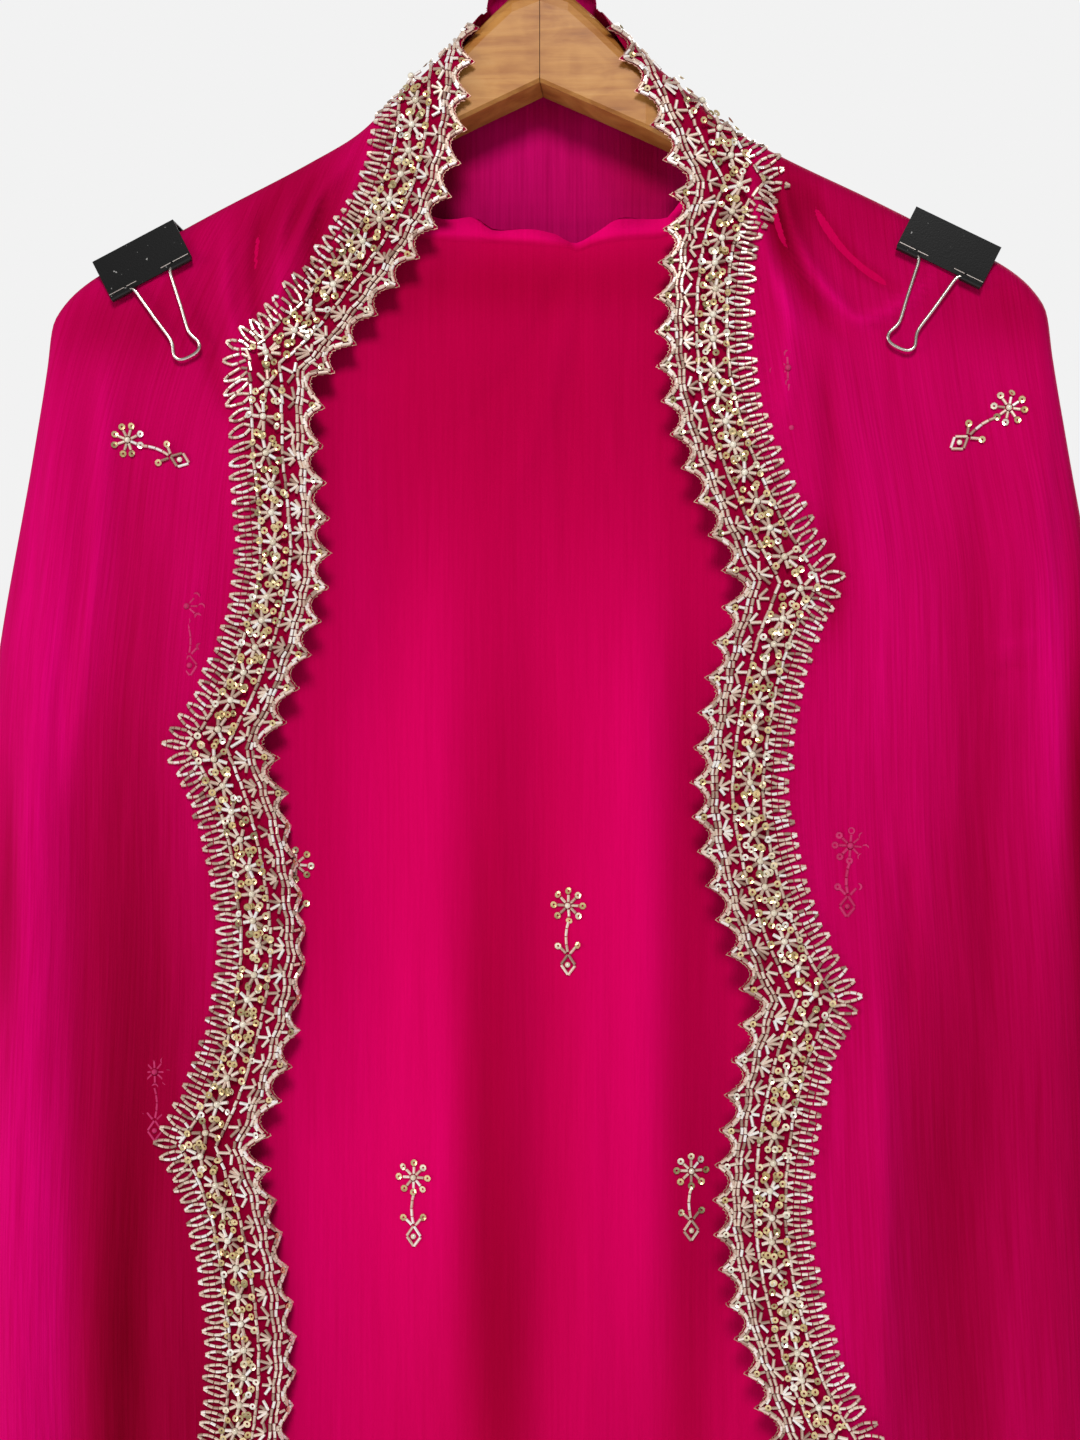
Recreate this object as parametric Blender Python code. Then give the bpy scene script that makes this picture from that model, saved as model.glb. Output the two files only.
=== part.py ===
"""A dupatta stole on a wooden hanger.

One rectangle of chiffon is laid over the arms of a hanger as over two shoulders. Its bordered long edge
runs down both fronts and behind the hook. Behind the hanger the cloth hangs to a bottom fold, turns up
inside and is held under the shoulders by two binder clips. Each stretch of cloth is a thin wall made from
rows of points, and each row crosses the cloth from the bordered edge to its outline.

Metres, +Z up, -Y is the front. The origin is the point where the hook hangs.
"""

import math

import bmesh
import bpy
import numpy as np
from mathutils import Matrix

GAP = 0.0003
CLOTH = 0.0012
BORDER_THICKNESS = 0.0012

HEM_Z = -1.25
FOLD_Z = -0.72
FOLD_RADIUS = 0.010
# The panel reaches this far up the back from the fold, and the back starts this far above the fold.
PANEL_BACK_REACH = 0.0040
BACK_START = 0.0053
NECK_HALF_WIDTH = 0.0235
NECK_Z = -0.0736
COLLAR_TOP_Z = -0.052
BORDER_NECK_LOW_Z = -0.096
COLLAR_ROWS_Z = (-0.0530, -0.0575, -0.0640, -0.0700)
# Half the gap between the front and the back where they meet at the outline.
MEETING_Y = 0.00025

# The outline of the cloth from the front, outward from where it leaves the neck: half width and height.
OUTLINE = np.array([
    (0.0235, -0.0736), (0.0450, -0.0965), (0.0634, -0.1125), (0.0790, -0.1265), (0.1000, -0.1385),
    (0.1430, -0.1600), (0.1700, -0.1742), (0.1985, -0.1895), (0.2080, -0.1980), (0.2139, -0.2077),
    (0.2164, -0.2260), (0.2225, -0.2630), (0.2360, -0.3420), (0.2460, -0.4200), (0.2550, -0.5200),
    (0.2620, -0.6900), (0.2680, -0.9000), (0.2720, -1.2500),
])

# For each front: sign of x; the line that the free edge keeps to between its cusps, as distance from the
# middle and height; the places of the cusps along it; and how far along the outline each row ends.
LEFT = {
    "sign": -1.0,
    "edge": np.array([
        (0.0153, -0.0736), (0.0260, -0.1247), (0.0409, -0.1681), (0.0668, -0.2234), (0.0838, -0.2715),
        (0.0889, -0.3247), (0.0949, -0.3970), (0.0962, -0.4779), (0.0996, -0.5630), (0.1013, -0.6353),
        (0.1004, -0.7119), (0.1020, -0.9000), (0.1050, -1.2500),
    ]),
    "cusps": (0.000, 0.180, 0.332, 0.503, 0.677, 0.852, 1.027, 1.202),
    "fan": np.array([
        (0.000, 0.004), (0.040, 0.062), (0.084, 0.100), (0.126, 0.122), (0.153, 0.145), (0.168, 0.185),
        (0.182, 0.235), (0.205, 0.283), (0.300, 0.380), (0.700, 0.786), (1.189, 1.281),
    ]),
    # Largest folds: distance from the middle and height at each end, half width, and height towards the front.
    "folds": (
        (0.2140, -0.30, 0.2300, -0.95, 0.012, 0.0050),
        (0.1650, -0.42, 0.1720, -1.25, 0.026, -0.0060),
        (0.1350, -0.80, 0.1400, -1.25, 0.014, 0.0050),
        (0.2450, -0.60, 0.2500, -1.25, 0.012, -0.0040),
    ),
}
RIGHT = {
    "sign": 1.0,
    "edge": np.array([
        (0.0238, -0.0736), (0.0370, -0.1289), (0.0421, -0.1843), (0.0515, -0.2481), (0.0626, -0.3289),
        (0.0638, -0.4140), (0.0694, -0.4991), (0.0728, -0.5843), (0.0783, -0.6821), (0.0830, -0.8000),
        (0.0880, -1.0000), (0.0900, -1.2500),
    ]),
    "cusps": (-0.092, 0.084, 0.254, 0.429, 0.612, 0.788, 0.964, 1.140, 1.316),
    "fan": np.array([
        (0.000, 0.004), (0.057, 0.066), (0.087, 0.122), (0.133, 0.222), (0.165, 0.262), (0.300, 0.397),
        (0.700, 0.797), (1.180, 1.281),
    ]),
    "folds": (
        (0.1400, -0.45, 0.1420, -0.78, 0.010, 0.0045),
        (0.1700, -0.52, 0.1720, -1.25, 0.020, -0.0060),
        (0.2080, -0.30, 0.2200, -1.25, 0.016, 0.0045),
        (0.1300, -0.80, 0.1350, -1.25, 0.018, -0.0040),
    ),
}
CUSP_RETREAT = 0.0166
BORDER_WIDTH = 0.0417
BORDER_CUSP_WIDTH = 0.0110
WIDEST_BORDER_SHARE = 0.55
# Distances along the outline where rows of the front and of the back meet.
RIDGE_STATIONS = (0.006, 0.018, 0.033, 0.055, 0.076, 0.100, 0.125, 0.150, 0.180, 0.204, 0.220, 0.232, 0.244,
                  0.262)
SIDE_STATIONS = (0.300, 0.370, 0.460, 0.560, 0.640)
TURN_ANGLES = (90, 62, 40, 20, 0)
ROWS_IN_SCALLOP = (0.0, 0.07, 0.20, 0.50, 0.80, 0.93)

# Thickness of the wooden bar: at the middle and along the arms.
BAR_THICK = 0.024
ARM_THICK = 0.012
TAPER_FROM = 0.045
TAPER_TO = 0.085
CLOTH_FRONT_OFF_ARM = 0.0028
CLOTH_BACK_OFF_ARM = 0.0019
FRONT_HANG_DEPTH = 0.0185
BACK_HANG_DEPTH = 0.0160
PANEL_DEPTH = 0.0040
PANEL_HALF_WIDTH = 0.190
PANEL_OFF_ARM = 0.0011

PANEL_WAVE_HEIGHT = 0.0022
PANEL_WAVE_NUMBER = 62.0
PANEL_COLUMNS = (0.028, 0.056, 0.085, 0.105, 0.130, 0.150, 0.170, PANEL_HALF_WIDTH)
PANEL_ROW_SHARES = (0.0, 0.02, 0.05, 0.10, 0.18, 0.30, 0.45, 0.62, 0.80, 0.96)
# The returned cloth of each end: how far it starts outside the panel, and how far it widens inward to the hem.
RETURN_OUTSIDE_PANEL = 0.004
RETURN_WIDENING = 0.055
RETURN_ROWS = 9

# Upper edge of the turned-up panel: distance from the middle and height.
PANEL_TOP = np.array([
    (0.000, -0.1750), (0.030, -0.1690), (0.060, -0.1580), (0.085, -0.1490), (0.105, -0.1530),
    (0.143, -0.1715), (0.170, -0.1860), (0.190, -0.1965),
])

# The arm's side view: distance from the middle, top and underside.
ARM = np.array([
    (0.00015, -0.0640, -0.1085), (0.0120, -0.0685, -0.1139), (0.0235, -0.0790, -0.1191),
    (0.0450, -0.1015, -0.1290), (0.0634, -0.1170, -0.1387), (0.0850, -0.1345, -0.1508),
    (0.1000, -0.1424, -0.1600), (0.1430, -0.1637, -0.1830), (0.1700, -0.1780, -0.1980),
    (0.1930, -0.1903, -0.2110), (0.2030, -0.1993, -0.2175), (0.2080, -0.2080, -0.2205),
])

WIRE_RADIUS = 0.0020
HOOK_BEND_RADIUS = 0.020
HOOK_TIP_ANGLE = 195
HOOK_LOWER_ANGLE = -55
FERRULE_RADIUS = 0.0045
FERRULE_HEIGHT = 0.0050

CLIP_CENTRE = 0.1745
CLIP_LENGTH = 0.0395
CLIP_HANDLE_W = 0.163
CLIP_STEEL = 0.0009
CLIP_TOP = 0.0036
CLIP_LIP = -0.0145
CLIP_FRONT_Y = -0.0098
CLIP_BACK_Y = 0.0089
CLIP_SPINE_FLARE = 0.0008
ROLL_OUTER = 0.0019
ROLL_BORE = 0.00112
ROLL_CUTOUT_HALF = 0.0100
HANDLE_WIRE = 0.00075
# One half of a wire handle, from the hinge outward: half width and distance from the hinge.
HANDLE = (
    (0.0165, 0.0), (0.0104, 0.0), (0.0094, 0.0003), (0.0088, 0.0010), (0.0084, 0.0024), (0.0060, 0.0180),
    (0.0044, 0.0265), (0.0042, 0.0290), (0.0050, 0.0315), (0.0062, 0.0340), (0.0060, 0.0362),
    (0.0045, 0.0376), (0.0020, 0.0382),
)

MAGENTA = (0.52, 0.002, 0.085)
PANEL_RED = (0.46, 0.001, 0.055)
BEAD_GOLD = (0.60, 0.47, 0.28)
WOOD = (0.50, 0.24, 0.07)
BLACK_PAINT = (0.012, 0.012, 0.012)
CHROME = (0.75, 0.75, 0.75)


# Curves and small formulas

def smooth(start, end, value):
    """0 before start, 1 after end, with a smooth climb between them."""
    t = np.clip((np.asarray(value, float) - start) / (end - start), 0.0, 1.0)
    return t * t * (3.0 - 2.0 * t)


def through(at, heights, value):
    """A smooth curve through the given heights that adds no humps of its own between them."""
    at, heights = np.asarray(at, float), np.asarray(heights, float)
    step = np.diff(at)
    slope = np.diff(heights) / step
    tangent = np.zeros(len(at))
    same_way = slope[:-1] * slope[1:] > 0
    weight_a, weight_b = 2 * step[1:] + step[:-1], step[1:] + 2 * step[:-1]
    with np.errstate(divide="ignore", invalid="ignore"):
        mean = (weight_a + weight_b) / (weight_a / slope[:-1] + weight_b / slope[1:])
    tangent[1:-1] = np.where(same_way, mean, 0.0)
    tangent[0], tangent[-1] = slope[0], slope[-1]
    value = np.clip(value, at[0], at[-1])
    i = np.clip(np.searchsorted(at, value) - 1, 0, len(step) - 1)
    t = (value - at[i]) / step[i]
    return ((1 + 2 * t) * (1 - t) ** 2 * heights[i] + t * (1 - t) ** 2 * step[i] * tangent[i]
            + t * t * (3 - 2 * t) * heights[i + 1] + t * t * (t - 1) * step[i] * tangent[i + 1])


def lengths(points):
    """Distance along a line of points, at each point."""
    return np.concatenate([[0.0], np.cumsum(np.linalg.norm(np.diff(points, axis=0), axis=1))])


def along(points, distance):
    """The point or points at that distance along a smooth line."""
    at = lengths(points)
    return np.stack([through(at, points[:, 0], distance), through(at, points[:, 1], distance)], axis=-1)


def cap(share):
    """Depth of a rounded edge, as a share of its full depth, by the share of its radius from the outline."""
    return np.sqrt(1.0 - (1.0 - np.clip(share, 0.0, 1.0)) ** 2)


# The form of the cloth: all as distance from the middle (w) and height (z)

OUTLINE_LINE = along(OUTLINE, np.linspace(0.0, lengths(OUTLINE)[-1], 500))
OUTLINE_LINE = np.concatenate([[(NECK_HALF_WIDTH, COLLAR_TOP_Z + 0.01)], OUTLINE_LINE])


def off_outline(w, z):
    """Distance from the cloth's outline, inside it."""
    points = np.stack([np.asarray(w, float).ravel(), np.asarray(z, float).ravel()], axis=1)
    start, end = OUTLINE_LINE[:-1], OUTLINE_LINE[1:]
    run = end - start
    nearest = np.full(len(points), 1e9)
    for a, d in zip(start, run):
        t = np.clip(((points - a) @ d) / (d @ d), 0.0, 1.0)
        nearest = np.minimum(nearest, np.linalg.norm(points - a - t[:, None] * d, axis=1))
    return nearest.reshape(np.shape(w))


def ridge_z(w):
    return through(OUTLINE[:11, 0], OUTLINE[:11, 1], np.clip(w, NECK_HALF_WIDTH, OUTLINE[10, 0]))


def half_arm(w):
    taper = np.clip((np.asarray(w, float) - TAPER_FROM) / (TAPER_TO - TAPER_FROM), 0.0, 1.0)
    return (BAR_THICK + (ARM_THICK - BAR_THICK) * taper) / 2


def cap_radius(w, z):
    return 0.012 - 0.0045 * smooth(0.03, 0.07, w) + 0.006 * smooth(-0.21, -0.34, z)


def hang_depth(w, z):
    """Height below the shoulder line, less the stretch that lies flat under a clip and its handle."""
    by_clip = np.exp(-(((np.asarray(w, float) - CLIP_HANDLE_W) / 0.034) ** 4))
    return ridge_z(w) - z - 0.042 * by_clip


def front_y(side, w, z):
    """Depth of the front walls' middle surface."""
    below = hang_depth(w, z)
    on_arm = half_arm(w) + CLOTH_FRONT_OFF_ARM
    depth = on_arm + (FRONT_HANG_DEPTH - on_arm) * smooth(0.026, 0.14, below)
    off = off_outline(w, z)
    lift = np.zeros(np.shape(w))
    for w_top, z_top, w_low, z_low, half_width, height in side["folds"]:
        share = np.clip((z - z_top) / (z_low - z_top), 0.0, 1.0)
        centre = w_top + (w_low - w_top) * share
        reach = smooth(z_top + 0.05, z_top - 0.12, z)
        lift = lift + height * reach * np.exp(-(((w - centre) / half_width) ** 2))
    lift = lift * smooth(0.004, 0.03, off)
    return -(depth * cap(off / cap_radius(w, z)) + lift)


def back_y(w, z):
    """Depth of the back walls' middle surface."""
    below = hang_depth(w, z)
    on_arm = half_arm(w) + CLOTH_BACK_OFF_ARM
    depth = on_arm + (BACK_HANG_DEPTH - on_arm) * smooth(0.026, 0.12, below)
    return depth * cap(off_outline(w, z) / cap_radius(w, z))


def scallop(side, s):
    """1 at the cusps of the border and 0 half way between them."""
    cusps = np.array(side["cusps"])
    phase = np.interp(s, cusps, np.arange(len(cusps)))
    return np.abs(2.0 * (phase % 1.0) - 1.0)


def edge_outward(side, s):
    """The direction outward from the border's base line, square to it."""
    reach = 0.004
    s = np.clip(s, reach, lengths(side["edge"])[-1] - reach)
    ahead, behind = along(side["edge"], s + reach), along(side["edge"], s - reach)
    run = ahead - behind
    run = run / np.linalg.norm(run, axis=-1, keepdims=True)
    return np.stack([-run[..., 1], run[..., 0]], axis=-1)


def border_point(side, s, share):
    """A point across the border: share 0 is its free edge and 1 the tips of its loops."""
    outward = edge_outward(side, s)
    base = along(side["edge"], s)
    wave = scallop(side, s)
    near_neck = 0.5 + 0.5 * smooth(0.0, 0.06, s)
    retreat = CUSP_RETREAT * near_neck * wave ** 1.6
    width = BORDER_WIDTH + BORDER_CUSP_WIDTH * wave ** 5
    return base + outward * (retreat + width * share)[..., None]


def turn_points(inner, end):
    """Points along the last of a row, where the cloth turns over its outline, ending on the outline."""
    shares = np.linspace(0.0, 1.0, 80)
    line = end + (inner - end) * shares[:, None]
    off = np.maximum.accumulate(off_outline(line[:, 0], line[:, 1]))
    if off[0] > GAP:
        return [end + (inner - end) * share for share in (0.4, 0.3, 0.2, 0.1, 0.0)]
    radius = min(float(cap_radius(end[0], end[1])), off[-1] * 0.7)
    found = [np.interp(radius * (1 - math.cos(a)), off, shares) for a in np.radians(TURN_ANGLES)]
    return [end + (inner - end) * share for share in found]


# Meshes

def add_object(name, mesh_source, colour, roughness, metallic=0.0):
    mesh = bpy.data.meshes.new(name)
    mesh_source.to_mesh(mesh)
    mesh_source.free()
    piece = bpy.data.objects.new(name, mesh)
    bpy.context.scene.collection.objects.link(piece)
    give_material(piece, colour, roughness, metallic)
    return piece


def give_material(piece, colour, roughness, metallic):
    material = bpy.data.materials.new(piece.name)
    material.use_nodes = True
    shader = material.node_tree.nodes["Principled BSDF"]
    shader.inputs["Base Color"].default_value = (*colour, 1.0)
    shader.inputs["Roughness"].default_value = roughness
    shader.inputs["Metallic"].default_value = metallic
    piece.data.materials.append(material)


def normals_of(grid):
    down, across = np.gradient(grid, axis=0), np.gradient(grid, axis=1)
    normal = np.cross(across, down)
    return normal / np.linalg.norm(normal, axis=-1, keepdims=True)


def wall(name, grid, thickness, colour, roughness, lift=0.0, normals=None):
    """A closed wall on a grid of points, moved out along its normals by lift."""
    normals = normals_of(grid) if normals is None else normals
    rows, columns = grid.shape[:2]
    mesh = bmesh.new()
    sheets = []
    for offset in (lift + thickness / 2, lift - thickness / 2):
        moved = grid + normals * offset
        sheets.append([[mesh.verts.new(moved[i, j]) for j in range(columns)] for i in range(rows)])
    top, low = sheets
    for i in range(rows - 1):
        for j in range(columns - 1):
            mesh.faces.new((top[i][j], top[i][j + 1], top[i + 1][j + 1], top[i + 1][j]))
            mesh.faces.new((low[i + 1][j], low[i + 1][j + 1], low[i][j + 1], low[i][j]))
    rim = ([(0, j) for j in range(columns)] + [(i, columns - 1) for i in range(1, rows)]
           + [(rows - 1, j) for j in range(columns - 2, -1, -1)] + [(i, 0) for i in range(rows - 2, 0, -1)])
    for here, there in zip(rim, rim[1:] + rim[:1]):
        mesh.faces.new((top[there[0]][there[1]], top[here[0]][here[1]],
                        low[here[0]][here[1]], low[there[0]][there[1]]))
    bmesh.ops.triangulate(mesh, faces=mesh.faces)
    bmesh.ops.recalc_face_normals(mesh, faces=mesh.faces)
    return add_object(name, mesh, colour, roughness)


# The two fronts and their borders

def front_stations(side):
    """Distances along the border of the rows: closer together round each cusp."""
    cusps = side["cusps"]
    stations = [a + (b - a) * share for a, b in zip(cusps, cusps[1:]) for share in ROWS_IN_SCALLOP]
    end = side["fan"][-1, 0]
    meeting = np.interp(RIDGE_STATIONS, side["fan"][:, 1], side["fan"][:, 0])
    apart = [s for s in stations if meeting[0] < s < end - 0.012 and np.abs(meeting - s).min() > 0.006]
    return np.array(sorted([*meeting, *apart, end]))


def front_grid(side):
    """Rows from the border's free edge to the outline. The first four columns are the border's width."""
    rows = []
    for s in front_stations(side):
        free, tips = border_point(side, np.array([s, s]), np.array([0.0, 1.0]))
        end = along(OUTLINE, np.interp(s, side["fan"][:, 0], side["fan"][:, 1]))
        across = np.linalg.norm(end - free)
        if np.linalg.norm(tips - free) >= WIDEST_BORDER_SHARE * across:
            tips = free + (end - free) * WIDEST_BORDER_SHARE
        turned = turn_points(tips, end)
        row = [free + (tips - free) * share for share in (0.0, 0.33, 0.67, 1.0)]
        row += [tips + (turned[0] - tips) * share for share in (0.25, 0.5, 0.75)]
        rows.append(row + turned)
    flat = np.array(rows)
    flat[-1, :, 1] = HEM_Z
    w, z = flat[..., 0], flat[..., 1]
    y = front_y(side, w, z)
    y[:, -1] = -MEETING_Y
    return np.stack([side["sign"] * w, y, z], axis=-1)


def build_front(name, side):
    grid = front_grid(side)
    normals = normals_of(grid)
    if normals[len(grid) // 2, 4, 1] > 0:
        normals = -normals
    normals[:, -1, 1] = 0.0
    normals /= np.linalg.norm(normals, axis=-1, keepdims=True)
    wall("front_" + name, grid, CLOTH, MAGENTA, 0.6, normals=normals)
    lift = CLOTH / 2 + GAP + BORDER_THICKNESS / 2
    wall("border_" + name, grid[:, :4], BORDER_THICKNESS, BEAD_GOLD, 0.35, lift, normals[:, :4])


# The back stretch, the part of the border behind the neck, and the returns of the two ends

def back_rows():
    """Heights of the rows behind the hanger with their half widths at the outline."""
    collar = [(z, NECK_HALF_WIDTH * math.sin(math.acos(1 - (COLLAR_TOP_Z - z) / (COLLAR_TOP_Z - NECK_Z))))
              for z in COLLAR_ROWS_Z]
    places = along(OUTLINE, np.array(RIDGE_STATIONS + SIDE_STATIONS))
    rows = collar + [(z, w) for w, z in places]
    end_z = FOLD_Z + BACK_START
    return rows + [(end_z, float(np.interp(-end_z, -OUTLINE[:, 1], OUTLINE[:, 0])))]


def back_grid():
    rows = []
    for z, half in back_rows():
        turned = [point[0] for point in turn_points(np.array([0.002, z]), np.array([half, z]))]
        half_row = [turned[0] * share for share in (0.0, 0.35, 0.7)] + turned
        w = np.array([-v for v in half_row[:0:-1]] + half_row)
        y = back_y(np.abs(w), np.full(len(w), z))
        y[[0, -1]] = np.maximum(y[[0, -1]], MEETING_Y)
        rows.append(np.stack([w, y, np.full(len(w), z)], axis=-1))
    return np.array(rows)


def build_back():
    grid = back_grid()
    normals = normals_of(grid)
    if normals[len(grid) // 2, 6, 1] < 0:
        normals = -normals
    normals[5:, [0, -1], 1] = 0.0
    normals /= np.linalg.norm(normals, axis=-1, keepdims=True)
    wall("back_stretch", grid, CLOTH, MAGENTA, 0.6, normals=normals)
    rows = int(np.sum(grid[:, 0, 2] > BORDER_NECK_LOW_Z)) + 1
    lift = CLOTH / 2 + GAP + BORDER_THICKNESS / 2
    wall("border_neck", grid[:rows], BORDER_THICKNESS, BEAD_GOLD, 0.35, lift, normals[:rows])


def build_return(name, side):
    """The end's cloth behind its front: from the outline inward, below the bottom fold."""
    rows = []
    for z in np.linspace(FOLD_Z + BACK_START - GAP - CLOTH, HEM_Z, RETURN_ROWS):
        half = float(np.interp(-z, -OUTLINE[:, 1], OUTLINE[:, 0]))
        inner = PANEL_HALF_WIDTH + RETURN_OUTSIDE_PANEL
        inner -= RETURN_WIDENING * float(smooth(FOLD_Z - 0.02, HEM_Z, z))
        turned = [point[0] for point in turn_points(np.array([inner, z]), np.array([half, z]))]
        w = np.array([inner, (inner + turned[0]) / 2] + turned)
        y = back_y(w, np.full(len(w), z))
        y[-1] = MEETING_Y
        rows.append(np.stack([side["sign"] * w, y, np.full(len(w), z)], axis=-1))
    grid = np.array(rows)
    normals = normals_of(grid)
    normals[:, -1, 1] = 0.0
    normals /= np.linalg.norm(normals, axis=-1, keepdims=True)
    wall("return_" + name, grid, CLOTH, MAGENTA, 0.6, normals=normals)


# The turned-up panel inside, with its bottom fold

def panel_y(w, z):
    below = ridge_z(w) - z
    on_arm = smooth(0.055, 0.083, w) * smooth(0.060, 0.034, below)
    drape = PANEL_WAVE_HEIGHT * np.sin(w * PANEL_WAVE_NUMBER + 0.8) * smooth(-0.24, -0.36, z)
    return -(PANEL_DEPTH + (half_arm(w) + PANEL_OFF_ARM - PANEL_DEPTH) * on_arm + drape)


def build_panel():
    half_row = np.array(PANEL_COLUMNS)
    w = np.concatenate([-half_row[::-1], [0.0], half_row])
    top = through(PANEL_TOP[:, 0], PANEL_TOP[:, 1], np.abs(w))
    rows = []
    for share in PANEL_ROW_SHARES:
        z = top + (FOLD_Z - top) * share
        rows.append(np.stack([w, panel_y(np.abs(w), z), z], axis=-1))
    back = back_y(np.abs(w), np.full(len(w), FOLD_Z))
    front = panel_y(np.abs(w), np.full(len(w), FOLD_Z))
    for angle in np.radians(np.linspace(0, 180, 7)):
        y = (front + back) / 2 - (back - front) / 2 * math.cos(angle)
        rows.append(np.stack([w, y, FOLD_Z - FOLD_RADIUS * math.sin(angle) + 0 * w], axis=-1))
    rows.append(np.stack([w, back, FOLD_Z + PANEL_BACK_REACH + 0 * w], axis=-1))
    wall("inner_panel", np.array(rows), CLOTH, PANEL_RED, 0.6)


# The hanger

def arm_section(w, top, low):
    """The bar's section at one distance from the middle: flat sides, a rounded top and eased lower corners."""
    half = float(half_arm(w))
    radius = (0.009 - 0.0035 * float(smooth(0.03, 0.07, w))) * 1.15
    ease = 0.0015
    side = [(half * float(cap((1 - math.cos(a)))), top - radius * (1 - math.cos(a)))
            for a in np.radians((22, 45, 68, 90))]
    side += [(half, low + ease), (half - ease, low)]
    return [(0.0, top)] + side + [(-y, z) for y, z in side[::-1]]


def build_arm(name, sign):
    mesh = bmesh.new()
    rings = []
    for w, top, low in ARM:
        rings.append([mesh.verts.new((sign * w, y, z)) for y, z in arm_section(w, top, low)])
    for ring, after in zip(rings, rings[1:]):
        for k in range(len(ring)):
            n = (k + 1) % len(ring)
            mesh.faces.new((ring[k], ring[n], after[n], after[k]))
    mesh.faces.new(rings[0][::-1])
    mesh.faces.new(rings[-1])
    bmesh.ops.recalc_face_normals(mesh, faces=mesh.faces)
    add_object("hanger_arm_" + name, mesh, WOOD, 0.45)


def add_wire(name, points, radius, colour, roughness, resolution=2, cyclic=False):
    curve = bpy.data.curves.new(name, "CURVE")
    curve.dimensions = "3D"
    spline = curve.splines.new("POLY")
    spline.points.add(len(points) - 1)
    for place, point in zip(spline.points, points):
        place.co = (*point, 1.0)
    spline.use_cyclic_u = cyclic
    curve.bevel_depth = radius
    curve.bevel_resolution = resolution
    curve.use_fill_caps = True
    piece = bpy.data.objects.new(name, curve)
    bpy.context.scene.collection.objects.link(piece)
    give_material(piece, colour, roughness, 1.0)
    return piece


def build_hook():
    """A question-mark hook: a round bend, a reverse bend and a straight neck down to the ferrule."""
    lower = math.radians(HOOK_LOWER_ANGLE)
    centre_z = -HOOK_BEND_RADIUS + WIRE_RADIUS
    points = [(HOOK_BEND_RADIUS * math.cos(a), centre_z + HOOK_BEND_RADIUS * math.sin(a))
              for a in np.radians(np.linspace(HOOK_TIP_ANGLE, HOOK_LOWER_ANGLE, 26))]
    end_x, end_z = points[-1]
    reverse = end_x / (1 - math.cos(lower))
    centre = (end_x + reverse * math.cos(lower), end_z + reverse * math.sin(lower))
    points += [(centre[0] + reverse * math.cos(a), centre[1] + reverse * math.sin(a))
               for a in np.linspace(math.pi + lower, math.pi, 6)[1:]]
    bar_top = ARM[0, 1]
    neck_z = bar_top + GAP + FERRULE_HEIGHT + GAP
    points.append((0.0, neck_z))
    add_wire("hanger_hook", [(x, 0.0, z) for x, z in points], WIRE_RADIUS, CHROME, 0.25, 3)

    mesh = bmesh.new()
    bmesh.ops.create_cone(mesh, cap_ends=True, segments=20, radius1=FERRULE_RADIUS,
                          radius2=FERRULE_RADIUS * 0.72, depth=FERRULE_HEIGHT)
    ferrule = add_object("hanger_ferrule", mesh, CHROME, 0.3, 1.0)
    ferrule.location = (0.0, 0.0, bar_top + GAP + FERRULE_HEIGHT / 2)


# The binder clips

def clip_frame(sign):
    """Origin on the shoulder line, X along the shoulder, Y to the back and Z square to the shoulder, up."""
    low, high = ridge_z(CLIP_CENTRE + 0.01), ridge_z(CLIP_CENTRE - 0.01)
    slope = math.atan2(float(high - low), 0.02)
    turn = Matrix.Rotation(sign * slope, 4, "Y")
    return Matrix.Translation((sign * CLIP_CENTRE, 0.0, float(ridge_z(CLIP_CENTRE)))) @ turn


def prism(mesh, section, start, end):
    """Extrudes a closed section of (y, z) points along X."""
    rings = [[mesh.verts.new((x, y, z)) for y, z in section] for x in (start, end)]
    for k in range(len(section)):
        n = (k + 1) % len(section)
        mesh.faces.new((rings[0][k], rings[0][n], rings[1][n], rings[1][k]))
    mesh.faces.new(rings[0][::-1])
    mesh.faces.new(rings[1])
    bmesh.ops.recalc_face_normals(mesh, faces=mesh.faces)


def roll_section(face_y, outward):
    """A lip rolled outward into a tube, open by a slit where it would meet its plate."""
    centre_y = face_y + outward * ROLL_OUTER
    angles = np.radians(np.linspace(-15, 285, 13))
    outer = [(centre_y - outward * ROLL_OUTER * math.cos(a), CLIP_LIP - ROLL_OUTER * math.sin(a)) for a in angles]
    inner = [(centre_y - outward * ROLL_BORE * math.cos(a), CLIP_LIP - ROLL_BORE * math.sin(a)) for a in angles]
    return outer + inner[::-1]


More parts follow.
